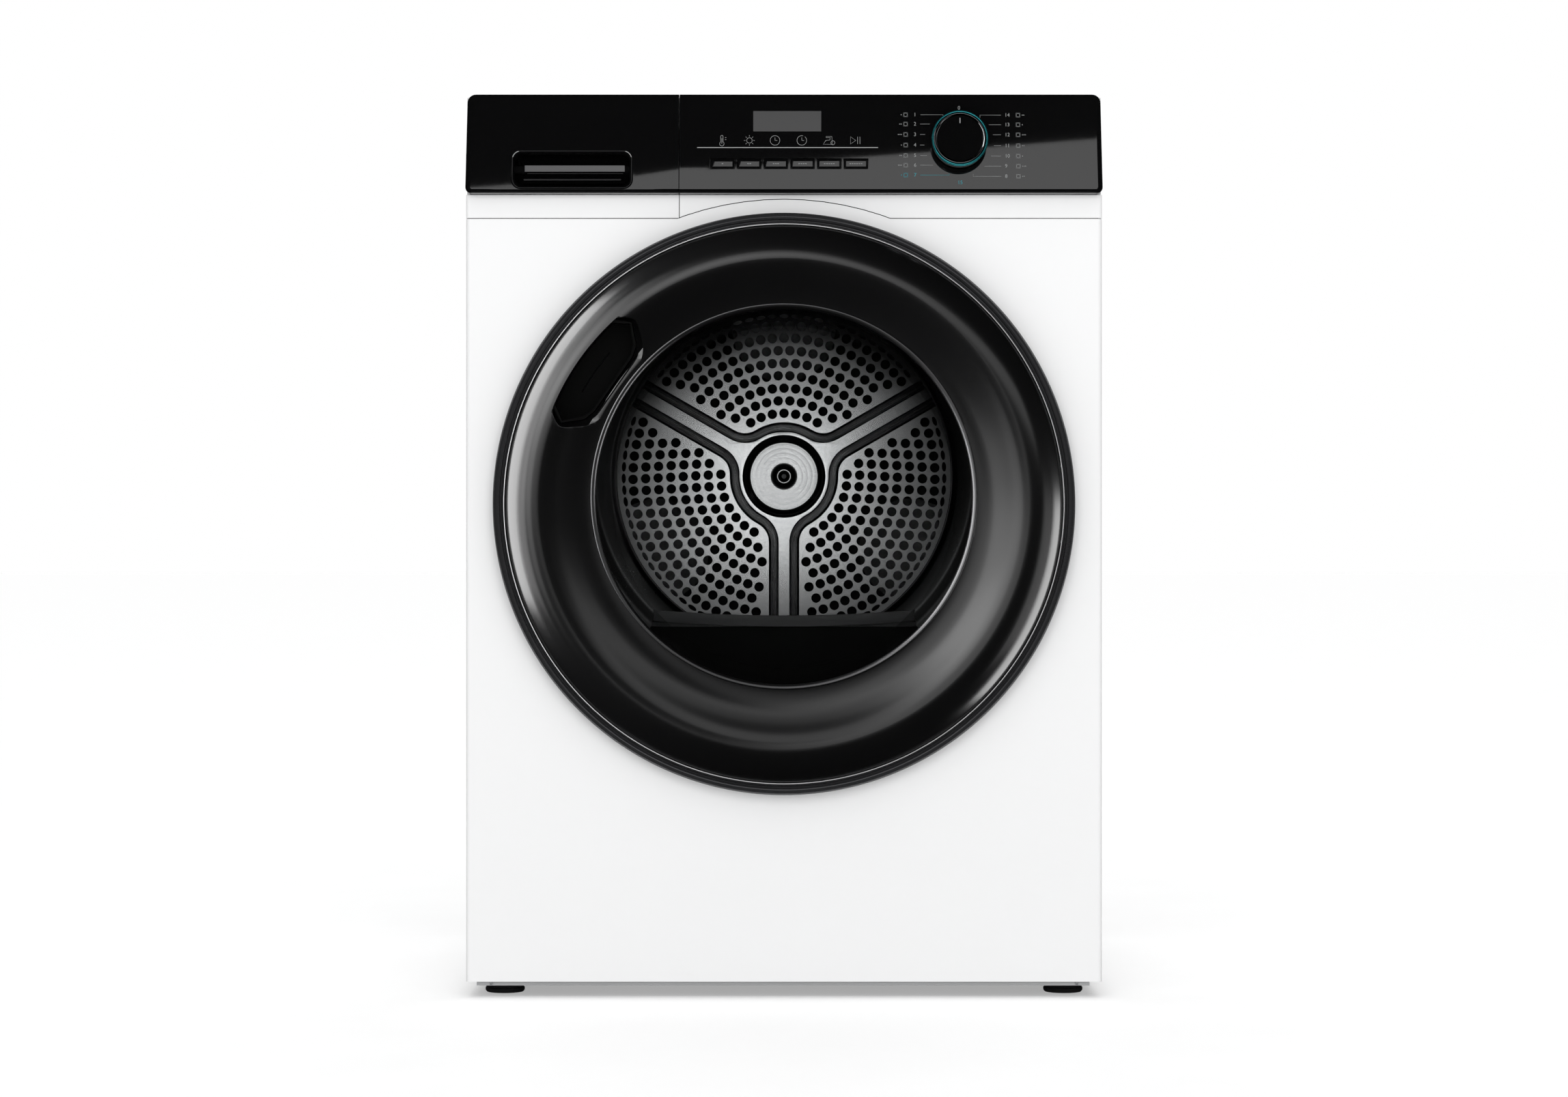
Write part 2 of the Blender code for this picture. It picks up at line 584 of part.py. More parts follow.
def make_door():
    centre = (0, 0, DOOR_Z)
    hinge = bpy.data.objects.new("door_hinge_axis", None)
    hinge.location = (HINGE_X, HINGE_Y, DOOR_Z)
    PARTS.objects.link(hinge)

    def at(x, z):
        """A point of the door's own frame, which is the hinge's."""
        return x - HINGE_X, -HINGE_Y, z - DOOR_Z

    pocket = box("hinge_pocket", (0.2255, -0.2832, HINGE_LOW), (0.2642, -0.26, HINGE_HIGH))
    notch = box("hinge_notch", (0.2600, -0.2792, HINGE_LOW), (0.2800, -0.26, HINGE_HIGH))

    ring_section = [(RING_INNER, DOOR_BACK_Y), (RING_INNER, -0.2860), (0.2630, -0.2872), (0.2685, -0.2862)]
    ring_section += [(DOOR_R, -0.2815), (DOOR_R, -0.2750), (0.2690, -0.2703), (0.2632, DOOR_BACK_Y)]
    ring = turned("door_ring", ring_section, at(0, DOOR_Z), DOOR_STEPS, RING_GREY, parent=hinge)

    dish = turned(
        "door_dish", wall_profile(DISH_FRONT[::-1], 0.003), at(0, DOOR_Z), DOOR_STEPS, BLACK_GLOSS, parent=hinge
    )
    boolean(dish, cylinder_cutter("porthole", (0, 0, GLASS_Z), GLASS_R, -0.32, -0.26, DOOR_STEPS))
    boolean(dish, prism("pocket_opening", [pocket_outline(0)], "y", -0.32, -0.26))

    plate = [(0.16, DOOR_BACK_Y - 0.003), (0.2598, DOOR_BACK_Y - 0.003), (0.2598, DOOR_BACK_Y), (0.16, DOOR_BACK_Y)]
    frame = turned("door_inner_frame", plate, at(0, DOOR_Z), DOOR_STEPS, BLACK_PLASTIC, parent=hinge)
    collar_front = GLASS_FLANGE_Y + GLASS_THICK + GAP
    collar = [(0.17, collar_front), (0.1885, collar_front), (0.1885, -0.2670), (0.17, -0.2670)]
    boolean(frame, turned("collar", collar, (0, 0, GLASS_Z), BOWL_STEPS), "UNION")
    boolean(frame, cylinder_cutter("collar_bore", (0, 0, GLASS_Z), 0.1803, -0.30, -0.25, BOWL_STEPS))

    for piece in (ring, dish, frame):
        boolean(piece, pocket)
        boolean(piece, notch)

    bowl = [(0.1900, GLASS_FLANGE_Y), (0.1762, GLASS_FLANGE_Y), (0.1728, -0.2600), (0.1685, -0.2400)]
    bowl += [(0.1600, -0.2250), (0.1430, -0.2140), (0.1050, -0.2095), (0, -0.2080)]
    turned("door_glass", wall_profile(bowl[::-1], GLASS_THICK), at(0, GLASS_Z), BOWL_STEPS, SMOKED_GLASS, parent=hinge)

    seal = [(0.1830, DOOR_BACK_Y + GAP), (0.1960, DOOR_BACK_Y + GAP), (0.1960, -0.2640), (0.1930, -0.2600)]
    seal += [(0.1890, -0.2575), (0.1850, -0.2600), (0.1830, -0.2640)]
    turned("door_seal", seal, at(0, GLASS_Z), BOWL_STEPS, RUBBER, parent=hinge)

    make_handle_cup(hinge)
    make_hinge(hinge)
    make_latch(hinge)


def pocket_outline(grow):
    """The finger pocket of the door: an arc under the ridge, and a chord towards the glass."""
    centre = (0, DOOR_Z)
    start, end = POCKET_ANGLES
    side = math.degrees(grow / POCKET_OUTER)
    outer = arc(centre, POCKET_OUTER + grow, start + 3 - side, end - 3 + side, 8)
    near_end = [polar(centre, POCKET_OUTER - 0.012, end + side), polar(centre, 0.2035 - grow, end - 3.0 + side)]
    near_start = [polar(centre, 0.2035 - grow, start + 3.0 - side), polar(centre, POCKET_OUTER - 0.012, start - side)]
    inner = [polar(centre, POCKET_INNER + 0.003 - grow, a) for a in (154.0, 136.0)]
    return outer + near_end + inner + near_start


def make_handle_cup(hinge):
    floor_y, wall = -0.2698, 0.002
    cup = prism("door_handle_cup", [pocket_outline(wall)], "y", -0.2990, floor_y, BLACK_PLASTIC)
    behind = [(r, y + 0.0034) for r, y in DISH_FRONT[2:]]
    envelope = [(0.15, -0.33), (0.262, -0.33), (0.262, -0.2800)] + behind + [(0.15, behind[-1][1])]
    boolean(cup, turned("dish_envelope", envelope, (0, 0, DOOR_Z), DOOR_STEPS))
    boolean(cup, prism("cup_hollow", [pocket_outline(-0.0002)], "y", -0.33, floor_y - wall))
    keep_place(cup, hinge)


def keep_place(piece, parent):
    """Parents a piece that is already in its place."""
    piece.parent = parent
    piece.location = Vector(piece.location) - Vector(parent.location)


def make_hinge(hinge):
    """A fixed bracket with two lugs and the pin, and the door's arm with its knuckle between them."""
    bracket_y = FRONT_Y + SHEET + 0.0006
    bracket = box("door_hinge_bracket", (0.2262, bracket_y, 0.420), (0.250, bracket_y + 0.002, 0.503), ZINC_STEEL)
    root = (0.2360, -0.2680)
    for i, (low, high) in enumerate(LUG_HEIGHTS):
        lug = prism(f"lug_{i}", [lug_outline(root, bracket_y + 0.001)], "z", low, high)
        boolean(bracket, lug, "UNION")
    pin = cylinder_cutter(
        "pin", (HINGE_X, HINGE_Y, 0), PIN_R, LUG_HEIGHTS[0][0] + 0.002, LUG_HEIGHTS[1][1] - 0.002, 16, axis="z"
    )
    boolean(bracket, pin, "UNION")

    low, high = LUG_HEIGHTS[0][1] + 0.0008, LUG_HEIGHTS[1][0] - 0.0008
    seat_y = DOOR_BACK_Y - 0.003 - GAP
    outline = [(0.195, seat_y), (0.2235, seat_y), (0.2300, -0.2760), (0.2575, -0.2760), (0.2575, -0.2800)]
    outline += [(0.2280, -0.2800), (0.2215, seat_y - 0.003), (0.195, seat_y - 0.003)]
    arm = prism("door_hinge_arm", [outline], "z", low, high, ZINC_STEEL)
    knuckle = cylinder_cutter("knuckle", (HINGE_X, HINGE_Y, 0), KNUCKLE_R, low, high, 16, axis="z")
    boolean(arm, knuckle, "UNION")
    boolean(arm, cylinder_cutter("knuckle_bore", (HINGE_X, HINGE_Y, 0), PIN_R + GAP, 0.40, 0.52, 16, axis="z"))
    keep_place(arm, hinge)


def lug_outline(root, back_y):
    """The plan view of a lug: round about the pin, straight to its root, then back through the panel."""
    half = 0.004
    towards = Vector(root) - Vector((HINGE_X, HINGE_Y))
    heading = math.degrees(math.atan2(towards.y, towards.x))
    eye = arc((HINGE_X, HINGE_Y), KNUCKLE_R, heading - 250, heading - 110, 8)
    return eye + [(root[0] + half, root[1] + 0.001), (root[0] + half, back_y), (root[0] - half, back_y)] + [
        (root[0] - half, root[1] - 0.001)
    ]


def make_latch(hinge):
    z0, z1 = DOOR_Z - 0.008, DOOR_Z + 0.008
    back = DOOR_BACK_Y + GAP
    nose = [(-0.2415, back), (-0.2355, back), (-0.2355, -0.2520), (-0.2375, -0.2490), (-0.2440, -0.2510)]
    nose += [(-0.2440, -0.2540), (-0.2415, -0.2550)]
    hook = prism("latch_hook", [nose], "z", z0, z1, BLACK_PLASTIC)
    keep_place(hook, hinge)
    front = FRONT_Y + SHEET + 0.0006
    catch = box("latch_catch", (-0.2530, front, 0.4415), (-0.2262, -0.2400, 0.4815), BLACK_PLASTIC)
    boolean(catch, box("catch_hollow", (-0.2475, -0.27, 0.4465), (-0.2315, -0.2430, 0.4765)))


# ---------------------------------------------------------------- drum and its drive


def make_drum():
    axis = (0, 0, DRUM_Z)
    shell = [(LIP_R, DRUM_FRONT_Y), (DRUM_R, DRUM_FRONT_Y), (DRUM_R, DRUM_REAR_Y)]
    inner_r = DRUM_R - DRUM_SHEET
    shell += [(inner_r, DRUM_REAR_Y), (inner_r, DRUM_FRONT_Y + DRUM_SHEET), (LIP_R, DRUM_FRONT_Y + DRUM_SHEET)]
    turned("drum_shell", shell, axis, 48, DRUM_STEEL)
    front = [(0, 0.1990), (0.052, 0.1990), (0.060, 0.2030), (0.172, 0.2030), (0.182, 0.2090)]
    front += [(inner_r - FACET_GAP, 0.2120)]
    rear = [(r, y + DRUM_SHEET) for r, y in reversed(front)]
    turned("drum_back", front + rear, axis, 40, DRUM_STEEL)
    for i in range(LIFTER_COUNT):
        make_lifter(f"drum_lifter_{i + 1}", 90 + 360 * i / LIFTER_COUNT)
    shaft = [(0, 0.2003), (0.050, 0.2003), (0.050, 0.2043), (0.0125, 0.2043), (0.0125, 0.232), (0, 0.232)]
    turned("drum_shaft", shaft, axis, 20, ZINC_STEEL)
    for side, (x, z) in roller_places().items():
        roller = [(0.0043, -0.1785), (0.0235, -0.1785), (ROLLER_R, -0.1765), (ROLLER_R, -0.1625)]
        roller += [(0.0235, -0.1605), (0.0043, -0.1605)]
        turned(f"drum_roller_{side}", roller, (x, 0, z), 18, RUBBER)


def make_lifter(name, degrees):
    """A paddle along the drum's wall, at an angle from +X about the drum's axis."""
    wall_r = DRUM_R - DRUM_SHEET - FACET_GAP
    half_base = math.degrees(math.asin(0.034 / wall_r))
    base = arc((0, DRUM_Z), wall_r, degrees - half_base, degrees + half_base, 4)
    crest = [polar((0, DRUM_Z), r, degrees + a) for r, a in ((0.245, 3.6), (0.2345, 1.2), (0.2345, -1.2), (0.245, -3.6))]
    paddle = prism(name, [base + crest], "y", -0.135, 0.165, GREY_PLASTIC)
    paddle.location.z = 0


def belt_path(spare):
    """The belt's loop: round each circle, and straight along the tangents between them."""
    rounds = [((0, DRUM_Z), DRUM_R, 40), ((IDLER_X, IDLER_Z), IDLER_R, 6), ((MOTOR_X, MOTOR_Z), PULLEY_R, 5)]
    points = []
    for i, (centre, radius, count) in enumerate(rounds):
        arrive = tangent_angle(rounds[i - 1], rounds[i])
        leave = tangent_angle(rounds[i], rounds[(i + 1) % len(rounds)])
        while leave < arrive:
            leave += 360
        points += arc(centre, radius + spare, arrive, leave, count)
    return points


def tangent_angle(one, two):
    """The direction, in degrees, of the outer tangent's touching points, going round anticlockwise."""
    (c1, r1, _), (c2, r2, _) = one, two
    across = Vector(c2) - Vector(c1)
    heading = math.atan2(across.y, across.x)
    return math.degrees(heading - math.acos((r1 - r2) / across.length))


def make_drive():
    motor_axis = (MOTOR_X, 0, MOTOR_Z)
    half = BELT_WIDTH / 2
    y0, y1 = BELT_Y - half, BELT_Y + half
    prism("drum_belt", [belt_path(FACET_GAP + BELT_THICK), belt_path(FACET_GAP)], "y", y0, y1, RUBBER)
    case = [(0.0062, 0.092), (0.030, 0.092), (0.048, 0.098), (0.055, 0.104), (0.055, 0.200), (0.048, 0.208)]
    case += [(0.0062, 0.212)]
    turned("motor_body", case, motor_axis, 20, ZINC_STEEL)
    flange = 0.0085
    rotor = [(0, y0 - 0.004), (flange, y0 - 0.004), (flange, y0 - 0.001), (PULLEY_R, y0 - 0.001)]
    rotor += [(PULLEY_R, y1 + 0.001), (flange, y1 + 0.001), (flange, y1 + 0.004), (0.0055, y1 + 0.004)]
    rotor += [(0.0055, 0.2745), (0, 0.2745)]
    make_blower(turned("motor_rotor", rotor, motor_axis, 12, ZINC_STEEL), motor_axis)
    idler = [(0.0043, y0 - 0.002), (IDLER_R + 0.002, y0 - 0.002), (IDLER_R + 0.002, y0 - 0.0008), (IDLER_R, y0 - 0.0008)]
    idler += [(IDLER_R, y1 + 0.0008), (IDLER_R + 0.002, y1 + 0.0008), (IDLER_R + 0.002, y1 + 0.002)]
    idler += [(0.0043, y1 + 0.002)]
    turned("idler_pulley", idler, (IDLER_X, 0, IDLER_Z), 16, BLACK_PLASTIC)
    make_idler_arm(y0, y1)


def make_idler_arm(y0, y1):
    """A lever behind the belt, with the idler's axle at one end and its own pivot at the other."""
    heading = math.degrees(math.atan2(IDLER_Z - ARM_Z, IDLER_X - ARM_X))
    reach = (IDLER_X - ARM_X, IDLER_Z - ARM_Z)
    lever = arc((0, 0), 0.009, heading + 90, heading + 270, 8) + arc(reach, 0.007, heading - 90, heading + 90, 8)
    plate_y = y1 + 0.003
    arm = prism("idler_arm", [lever], "y", plate_y, plate_y + 0.003, ZINC_STEEL)
    arm.location = (ARM_X, arm.location.y, ARM_Z)
    axle = cylinder_cutter("idler_axle", (IDLER_X, 0, IDLER_Z), 0.004, y0 - 0.004, plate_y + 0.001, 16)
    boolean(arm, axle, "UNION")
    pivot = cylinder_cutter("arm_pivot", (ARM_X, 0, ARM_Z), 0.005, plate_y - 0.006, plate_y + 0.001, 16)
    boolean(arm, pivot, "UNION")


def make_blower(rotor, motor_axis):
    """The fan wheel, which is pressed onto the rear end of the rotor and turns as one piece with it."""
    hub = [(0.0050, 0.238), (0.014, 0.238), (0.016, 0.266), (0.085, 0.268), (0.085, 0.270), (0.0050, 0.272)]
    wheel = turned("blower_hub", hub, motor_axis, 24)
    rim = [(0.062, 0.238), (0.085, 0.238), (0.085, 0.240), (0.062, 0.240)]
    boolean(wheel, turned("wheel_rim", rim, motor_axis, 24), "UNION")
    blades = 8
    for i in range(blades):
        angle = math.tau * i / blades
        blade = box(f"blade_{i}", (-0.0009, 0, 0), (0.0009, 0.029, 0.018))
        blade.rotation_euler = (0, angle, 0)
        out = Vector((math.sin(angle), 0, math.cos(angle))) * 0.074
        blade.location = Vector(motor_axis) + out + Vector((0, 0.2538, 0))
        boolean(wheel, blade, "UNION")
    boolean(rotor, wheel, "UNION")


# ---------------------------------------------------------------- air circuit


def make_air_circuit():
    make_filter()
    can = [(0, 0.195), (0.030, 0.192), (0.050, 0.182), (0.060, 0.165), (0.062, 0.140), (0.062, 0.050)]
    can += [(0.056, 0.034), (0.052, 0.018), (0, 0.018)]
    turned("compressor", can, (0.19, -0.08, 0), 18, BLACK_PLASTIC, "z")
    for name, y0, y1 in (("evaporator", -0.150, -0.075), ("condenser", -0.065, 0.045)):
        make_fin_block(name, y0, y1)


def make_fin_block(name, y0, y1):
    """A block of fins on a spine, seen from above as a comb."""
    left, right, pitch, fin = -0.262, -0.130, 0.012, 0.0045
    spine = 0.012
    teeth = int((y1 - y0 - fin) / pitch)
    outline = [(left, y1), (left, y0)]
    for i in range(teeth + 1):
        start = y0 + i * pitch
        outline += [(right, start), (right, start + fin)]
        if i < teeth:
            outline += [(left + spine, start + fin), (left + spine, start + pitch)]
    outline += [(left + spine, y0 + teeth * pitch + fin), (left + spine, y1)]
    prism(name, [outline], "z", 0.018, 0.195, ALUMINIUM)


def make_filter():
    """The duct's mouth under the door, and the lint filter that lifts out of it."""
    back, front = -0.1500, BULKHEAD_Y + 0.003 + GAP
    low, high = 0.2665, 0.345
    housing = box("filter_housing", (-0.128, front, low), (0.128, back, high), BLACK_PLASTIC)
    well = box("filter_well", (-0.1205, front + 0.003, low + 0.004), (0.1205, back - 0.003, high + 0.02))
    boolean(housing, well)
    inner_front, inner_back = front + 0.0038, back - 0.0038
    cassette = box("lint_filter", (-0.1175, inner_front, low + 0.0055), (0.1175, inner_back, high + 0.001), BLACK_PLASTIC)
    boolean(cassette, box("filter_lip", (-0.1265, front, high + GAP), (0.1265, back, high + 0.0053)), "UNION")
    for side in (-1, 1):
        x0, x1 = sorted((side * 0.004, side * 0.111))
        window = box(f"filter_window_{side + 1}", (x0, -0.20, low + 0.012), (x1, -0.14, high - 0.010))
        boolean(cassette, window)


make_cabinet()
make_feet()
make_fascia()
make_tank()
make_door()
make_drum()
make_drive()
make_air_circuit()
for made in PARTS.objects:
    if made.type == "MESH" and not made.modifiers:
        smooth(made)
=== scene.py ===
"""The looks of a front-loading tumble dryer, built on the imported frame. Metres, +Z up, the front faces -Y."""

import json
import math

import bmesh
import bpy
from mathutils import Matrix, Vector


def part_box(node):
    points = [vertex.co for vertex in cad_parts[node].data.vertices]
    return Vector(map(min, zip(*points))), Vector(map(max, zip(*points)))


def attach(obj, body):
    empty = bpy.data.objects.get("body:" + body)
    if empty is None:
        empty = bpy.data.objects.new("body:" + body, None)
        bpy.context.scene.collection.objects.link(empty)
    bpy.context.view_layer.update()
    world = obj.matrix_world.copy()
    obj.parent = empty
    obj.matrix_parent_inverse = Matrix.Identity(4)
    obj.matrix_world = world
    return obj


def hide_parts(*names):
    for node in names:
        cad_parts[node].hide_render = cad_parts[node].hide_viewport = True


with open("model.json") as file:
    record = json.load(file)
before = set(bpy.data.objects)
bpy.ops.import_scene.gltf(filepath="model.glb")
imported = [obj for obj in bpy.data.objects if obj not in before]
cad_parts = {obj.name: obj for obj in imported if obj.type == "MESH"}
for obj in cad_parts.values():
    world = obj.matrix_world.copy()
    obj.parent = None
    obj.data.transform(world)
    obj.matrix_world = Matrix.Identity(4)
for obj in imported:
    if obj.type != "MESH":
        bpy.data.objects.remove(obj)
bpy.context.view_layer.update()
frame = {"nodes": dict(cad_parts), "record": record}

RECORD = frame["record"]
SLOT_OF = {part["node"]: part["material_slot"] for part in RECORD["subparts"]}
BODY_OF = {node: body for body, nodes in RECORD["behaviour"]["bodies"].items() for node in nodes}

# Places that the pieces share with the frame.
TILT = math.radians(6.5)
FASCIA_BOTTOM, FASCIA_TOP = 0.7513, 0.845
FACE_BOTTOM_Y, FACE_Z = -0.279, 0.798
DOOR_Z, GLASS_Z, DRUM_Z = 0.4615, 0.4686, 0.4965


def leaning(z):
    """How far back from its foot the panel's face is at a height."""
    return (z - FASCIA_BOTTOM) * math.tan(TILT)


def at(x, y, z):
    return Matrix.Translation((x, y, z))


FACE = at(0, FACE_BOTTOM_Y + leaning(FACE_Z), FACE_Z) @ Matrix.Rotation(-TILT, 4, "X")
DOOR, PORTHOLE, DRUM = (at(0, 0, z) for z in (DOOR_Z, GLASS_Z, DRUM_Z))

# -------- materials

# A finish follows a fine and a broad noise, in these shares. The broad one's scale is in features a metre.
FINE_SHARE, BROAD_SHARE, BROAD_SCALE = 0.4, 0.6, 9.0
# Glass: what it mirrors seen straight on, and the most that it mirrors at a slant.
GLASS_IOR, STRAIGHT_ON, MOST_MIRRORED = 1.45, 0.034, 0.35


def feed(socket, value):
    """Sets a node's input to a value, or links it to another node's output."""
    if isinstance(value, bpy.types.NodeSocket):
        socket.id_data.links.new(value, socket)
    else:
        socket.default_value = value


def new_node(tree, kind, **inputs):
    node = tree.nodes.new(kind)
    for name, value in inputs.items():
        feed(node.inputs[name.replace("_", " ")], value)
    return node


def calculated(tree, operation, *inputs):
    node = tree.nodes.new("ShaderNodeMath")
    node.operation = operation
    for socket, value in zip(node.inputs, inputs):
        feed(socket, value)
    return node.outputs[0]


def map_range(tree, value, low, high, to_low, to_high):
    ends = {"From_Min": low, "From_Max": high, "To_Min": to_low, "To_Max": to_high}
    return new_node(tree, "ShaderNodeMapRange", Value=value, **ends).outputs["Result"]


def noise(tree, place, scale, detail=3.0, stretch=(1, 1, 1)):
    """Noise of the piece's own coordinates. The scale is in features a metre."""
    moved = new_node(tree, "ShaderNodeMapping", Vector=place, Scale=stretch).outputs["Vector"]
    return new_node(tree, "ShaderNodeTexNoise", Vector=moved, Scale=scale, Detail=detail).outputs["Fac"]


def finish(name, colour, rough, metallic, grain, bump, tint, wear=0.04, stretch=(1, 1, 1)):
    """A finish whose colour and roughness vary by tint and wear from place to place. Its relief is bump deep,
    with grain features a metre."""
    made = bpy.data.materials.new(name)
    made.use_nodes = True
    tree = made.node_tree
    place = tree.nodes.new("ShaderNodeTexCoord").outputs["Object"]
    grains = noise(tree, place, grain, 4.0, stretch)
    broad = calculated(tree, "MULTIPLY", noise(tree, place, BROAD_SCALE), BROAD_SHARE)
    both = calculated(tree, "MULTIPLY_ADD", grains, FINE_SHARE, broad)
    mix = tree.nodes.new("ShaderNodeMix")
    mix.data_type = "RGBA"
    dark, light = ([min(c * (1 + side * tint), 1.0) for c in colour] + [1.0] for side in (-1, 1))
    mix.inputs["A"].default_value, mix.inputs["B"].default_value = dark, light
    feed(mix.inputs["Factor"], both)
    relief = new_node(tree, "ShaderNodeBump", Strength=1.0, Distance=bump, Height=grains)
    shader = tree.nodes["Principled BSDF"].inputs
    feed(shader["Base Color"], mix.outputs["Result"])
    feed(shader["Metallic"], metallic)
    feed(shader["Roughness"], map_range(tree, both, 0.25, 0.75, max(rough - wear, 0.0), rough + wear))
    feed(shader["Normal"], relief.outputs["Normal"])
    return made


def glass(name, behind):
    """Clear glass: it shows what is behind it unbent, and mirrors more the flatter it is seen."""
    made = finish(name, (0.004, 0.004, 0.004), 0.03, 0.0, 120, 4e-7, 0.01, 0.01)
    tree = made.node_tree
    clear = new_node(tree, "ShaderNodeBsdfTransparent", Color=(*behind, 1.0)).outputs["BSDF"]
    slant = new_node(tree, "ShaderNodeFresnel", IOR=GLASS_IOR).outputs["Fac"]
    mirrored = map_range(tree, slant, STRAIGHT_ON, 1.0, 0.0, MOST_MIRRORED)
    mix = tree.nodes.new("ShaderNodeMixShader")
    for socket, source in zip(mix.inputs, (mirrored, clear, tree.nodes["Principled BSDF"].outputs["BSDF"])):
        feed(socket, source)
    feed(tree.nodes["Material Output"].inputs["Surface"], mix.outputs["Shader"])
    return made


def print_ink(name, colour, rough=0.55):
    return finish(name, colour, rough, 0.0, 2500, 1e-6, 0.1, 0.1)


# Each finish says its name, colour, roughness, how metallic it is, grain, bump, tint and wear.
LOOK = {
    "white_painted_steel": finish("enamelled_steel", (0.86, 0.862, 0.865), 0.34, 0, 700, 2.5e-6, 0.008),
    "white_board": finish("white_laminate", (0.85, 0.85, 0.852), 0.42, 0, 1500, 5e-6, 0.012),
    "white_plastic": finish("white_abs", (0.85, 0.852, 0.855), 0.38, 0, 1800, 3e-6, 0.008),
    "black_gloss": finish("piano_black", (0.0035, 0.0035, 0.0037), 0.018, 0, 300, 2e-7, 0.1, 0.008),
    "black_plastic": finish("black_grained", (0.014, 0.014, 0.015), 0.5, 0, 2600, 2e-5, 0.15, 0.08),
    "grey_plastic": finish("grey_moulded", (0.33, 0.335, 0.34), 0.5, 0, 2200, 1.5e-5, 0.05, 0.08),
    "ring_grey": finish("ring_lacquer", (0.05, 0.05, 0.053), 0.27, 0.6, 3000, 3e-6, 0.2, 0.05),
    "bowl_glass": glass("bowl_glass", (0.93, 0.935, 0.935)),
    "display_glass": finish("smoked_display", (0.056, 0.056, 0.057), 0.3, 0, 2500, 1e-6, 0.04),
    "drum_steel": finish("drum_stainless", (0.6, 0.6, 0.605), 0.13, 1, 400, 1.2e-6, 0.05, 0.02),
    "zinc_steel": finish("galvanised", (0.46, 0.47, 0.48), 0.42, 0.3, 60, 4e-6, 0.16, 0.12),
    "rubber": finish("rubber", (0.022, 0.022, 0.022), 0.75, 0, 1200, 1.5e-5, 0.15, 0.08),
    "fins": finish("fin_stock", (0.7, 0.71, 0.72), 0.36, 1, 900, 5e-6, 0.08, 0.08),
    "cast_case": finish("cast_black", (0.04, 0.04, 0.043), 0.55, 0, 800, 3e-5, 0.2, 0.1),
    "teal_ring": finish("teal_chrome", (0.05, 0.42, 0.46), 0.16, 0.9, 1500, 1e-6, 0.08, 0.05),
}
DISH_BLACK = finish("dish_lacquer", (0.002, 0.002, 0.0021), 0.21, 0, 500, 6e-7, 0.1, 0.03)
DARK_CHROME = finish("dark_chrome", (0.16, 0.165, 0.17), 0.09, 1, 400, 4e-7, 0.03, 0.03)
# Painted highlight: a light grey satin bead round the door, standing in for the bright edge line between the
# ring and the dish.
PAINTED_EDGE_HIGHLIGHT = finish("edge_highlight_paint", (0.36, 0.36, 0.364), 0.35, 0, 900, 4e-7, 0.03, 0.03)
PORTHOLE_GREY = finish("porthole_satin", (0.09, 0.09, 0.092), 0.34, 1, 900, 4e-7, 0.05)
PRINT = print_ink("grey_print", (0.42, 0.43, 0.43))
FINE_PRINT = print_ink("fine_print", (0.3, 0.31, 0.31))
TEAL_PRINT = print_ink("teal_print", (0.02, 0.3, 0.36), 0.5)
CASING_BLACK = finish("casing_black", (0.005, 0.005, 0.005), 0.42, 0, 1800, 5e-6, 0.12, 0.08)
RIM_STEEL = finish("rim_stainless", (0.5, 0.5, 0.505), 0.3, 1, 400, 2e-6, 0.05, 0.05)
FILTER_GREY = finish("filter_grey", (0.055, 0.055, 0.056), 0.45, 0, 1500, 5e-6, 0.08, 0.06)
DARK_BACK = finish("dark_casing", (0.03, 0.03, 0.031), 0.6, 0.3, 300, 1e-5, 0.2, 0.1)
HUB_SATIN = finish("hub_brushed", (0.62, 0.62, 0.625), 0.15, 1, 260, 2e-6, 0.06, 0.03, (1, 1, 14))
# Painted light: dim grey lines on the black grip, standing in for the soft light along its edges and outline.
GRIP_PAINTED_SOFT_LIGHT = finish("grip_painted_soft_light", (0.032, 0.032, 0.033), 0.3, 0, 2000, 2e-6, 0.08, 0.06)
# Painted highlight: a mid-grey strip on the black grip, standing in for the light on top of the grip's bar.
GRIP_PAINTED_HIGHLIGHT = finish("grip_painted_highlight", (0.075, 0.075, 0.077), 0.3, 0, 2000, 2e-6, 0.08, 0.06)
BASE_GREY = finish("base_grey", (0.42, 0.425, 0.43), 0.45, 0, 1500, 4e-6, 0.06, 0.08)

# -------- shapes


def loaded(*meshes):
    shape = bmesh.new()
    for mesh in meshes:
        shape.from_mesh(mesh)
    return shape


def stored(shape, mesh=None):
    mesh = mesh or bpy.data.meshes.new("shape")
    shape.to_mesh(mesh)
    shape.free()
    return mesh


def cleaned(shape, merge=2e-7):
    """The mesh of a bmesh, with its points merged within a distance and its faces turned outwards."""
    bmesh.ops.remove_doubles(shape, verts=shape.verts, dist=merge)
    bmesh.ops.recalc_face_normals(shape, faces=shape.faces)
    return stored(shape)


def mesh_of(verts, faces):
    shape = bmesh.new()
    made = [shape.verts.new(v) for v in verts]
    for face in faces:
        shape.faces.new([made[i] for i in face])
    return cleaned(shape, 1e-7)


def joined(*meshes):
    return stored(loaded(*meshes))


def added(name, data):
    made = bpy.data.objects.new(name, data)
    bpy.context.scene.collection.objects.link(made)
    return made


def drawn(data, *modifiers):
    """The mesh of a mesh, a curve or a text after modifiers, each a (kind, settings) pair."""
    holder = added("holder", data)
    for kind, settings in modifiers:
        modifier = holder.modifiers.new(kind, kind)
        for key, value in settings.items():
            setattr(modifier, key, value)
    made = bpy.data.meshes.new_from_object(holder.evaluated_get(bpy.context.evaluated_depsgraph_get()))
    bpy.data.objects.remove(holder)
    return made


def polar(radius, degrees):
    angle = math.radians(degrees)
    return radius * math.cos(angle), radius * math.sin(angle)


def bearing(x, z):
    return math.degrees(math.atan2(z, x))


def arc(radius, start, end, count, centre=(0, 0)):
    points = (polar(radius, start + (end - start) * i / count) for i in range(count + 1))
    return [(centre[0] + x, centre[1] + z) for x, z in points]


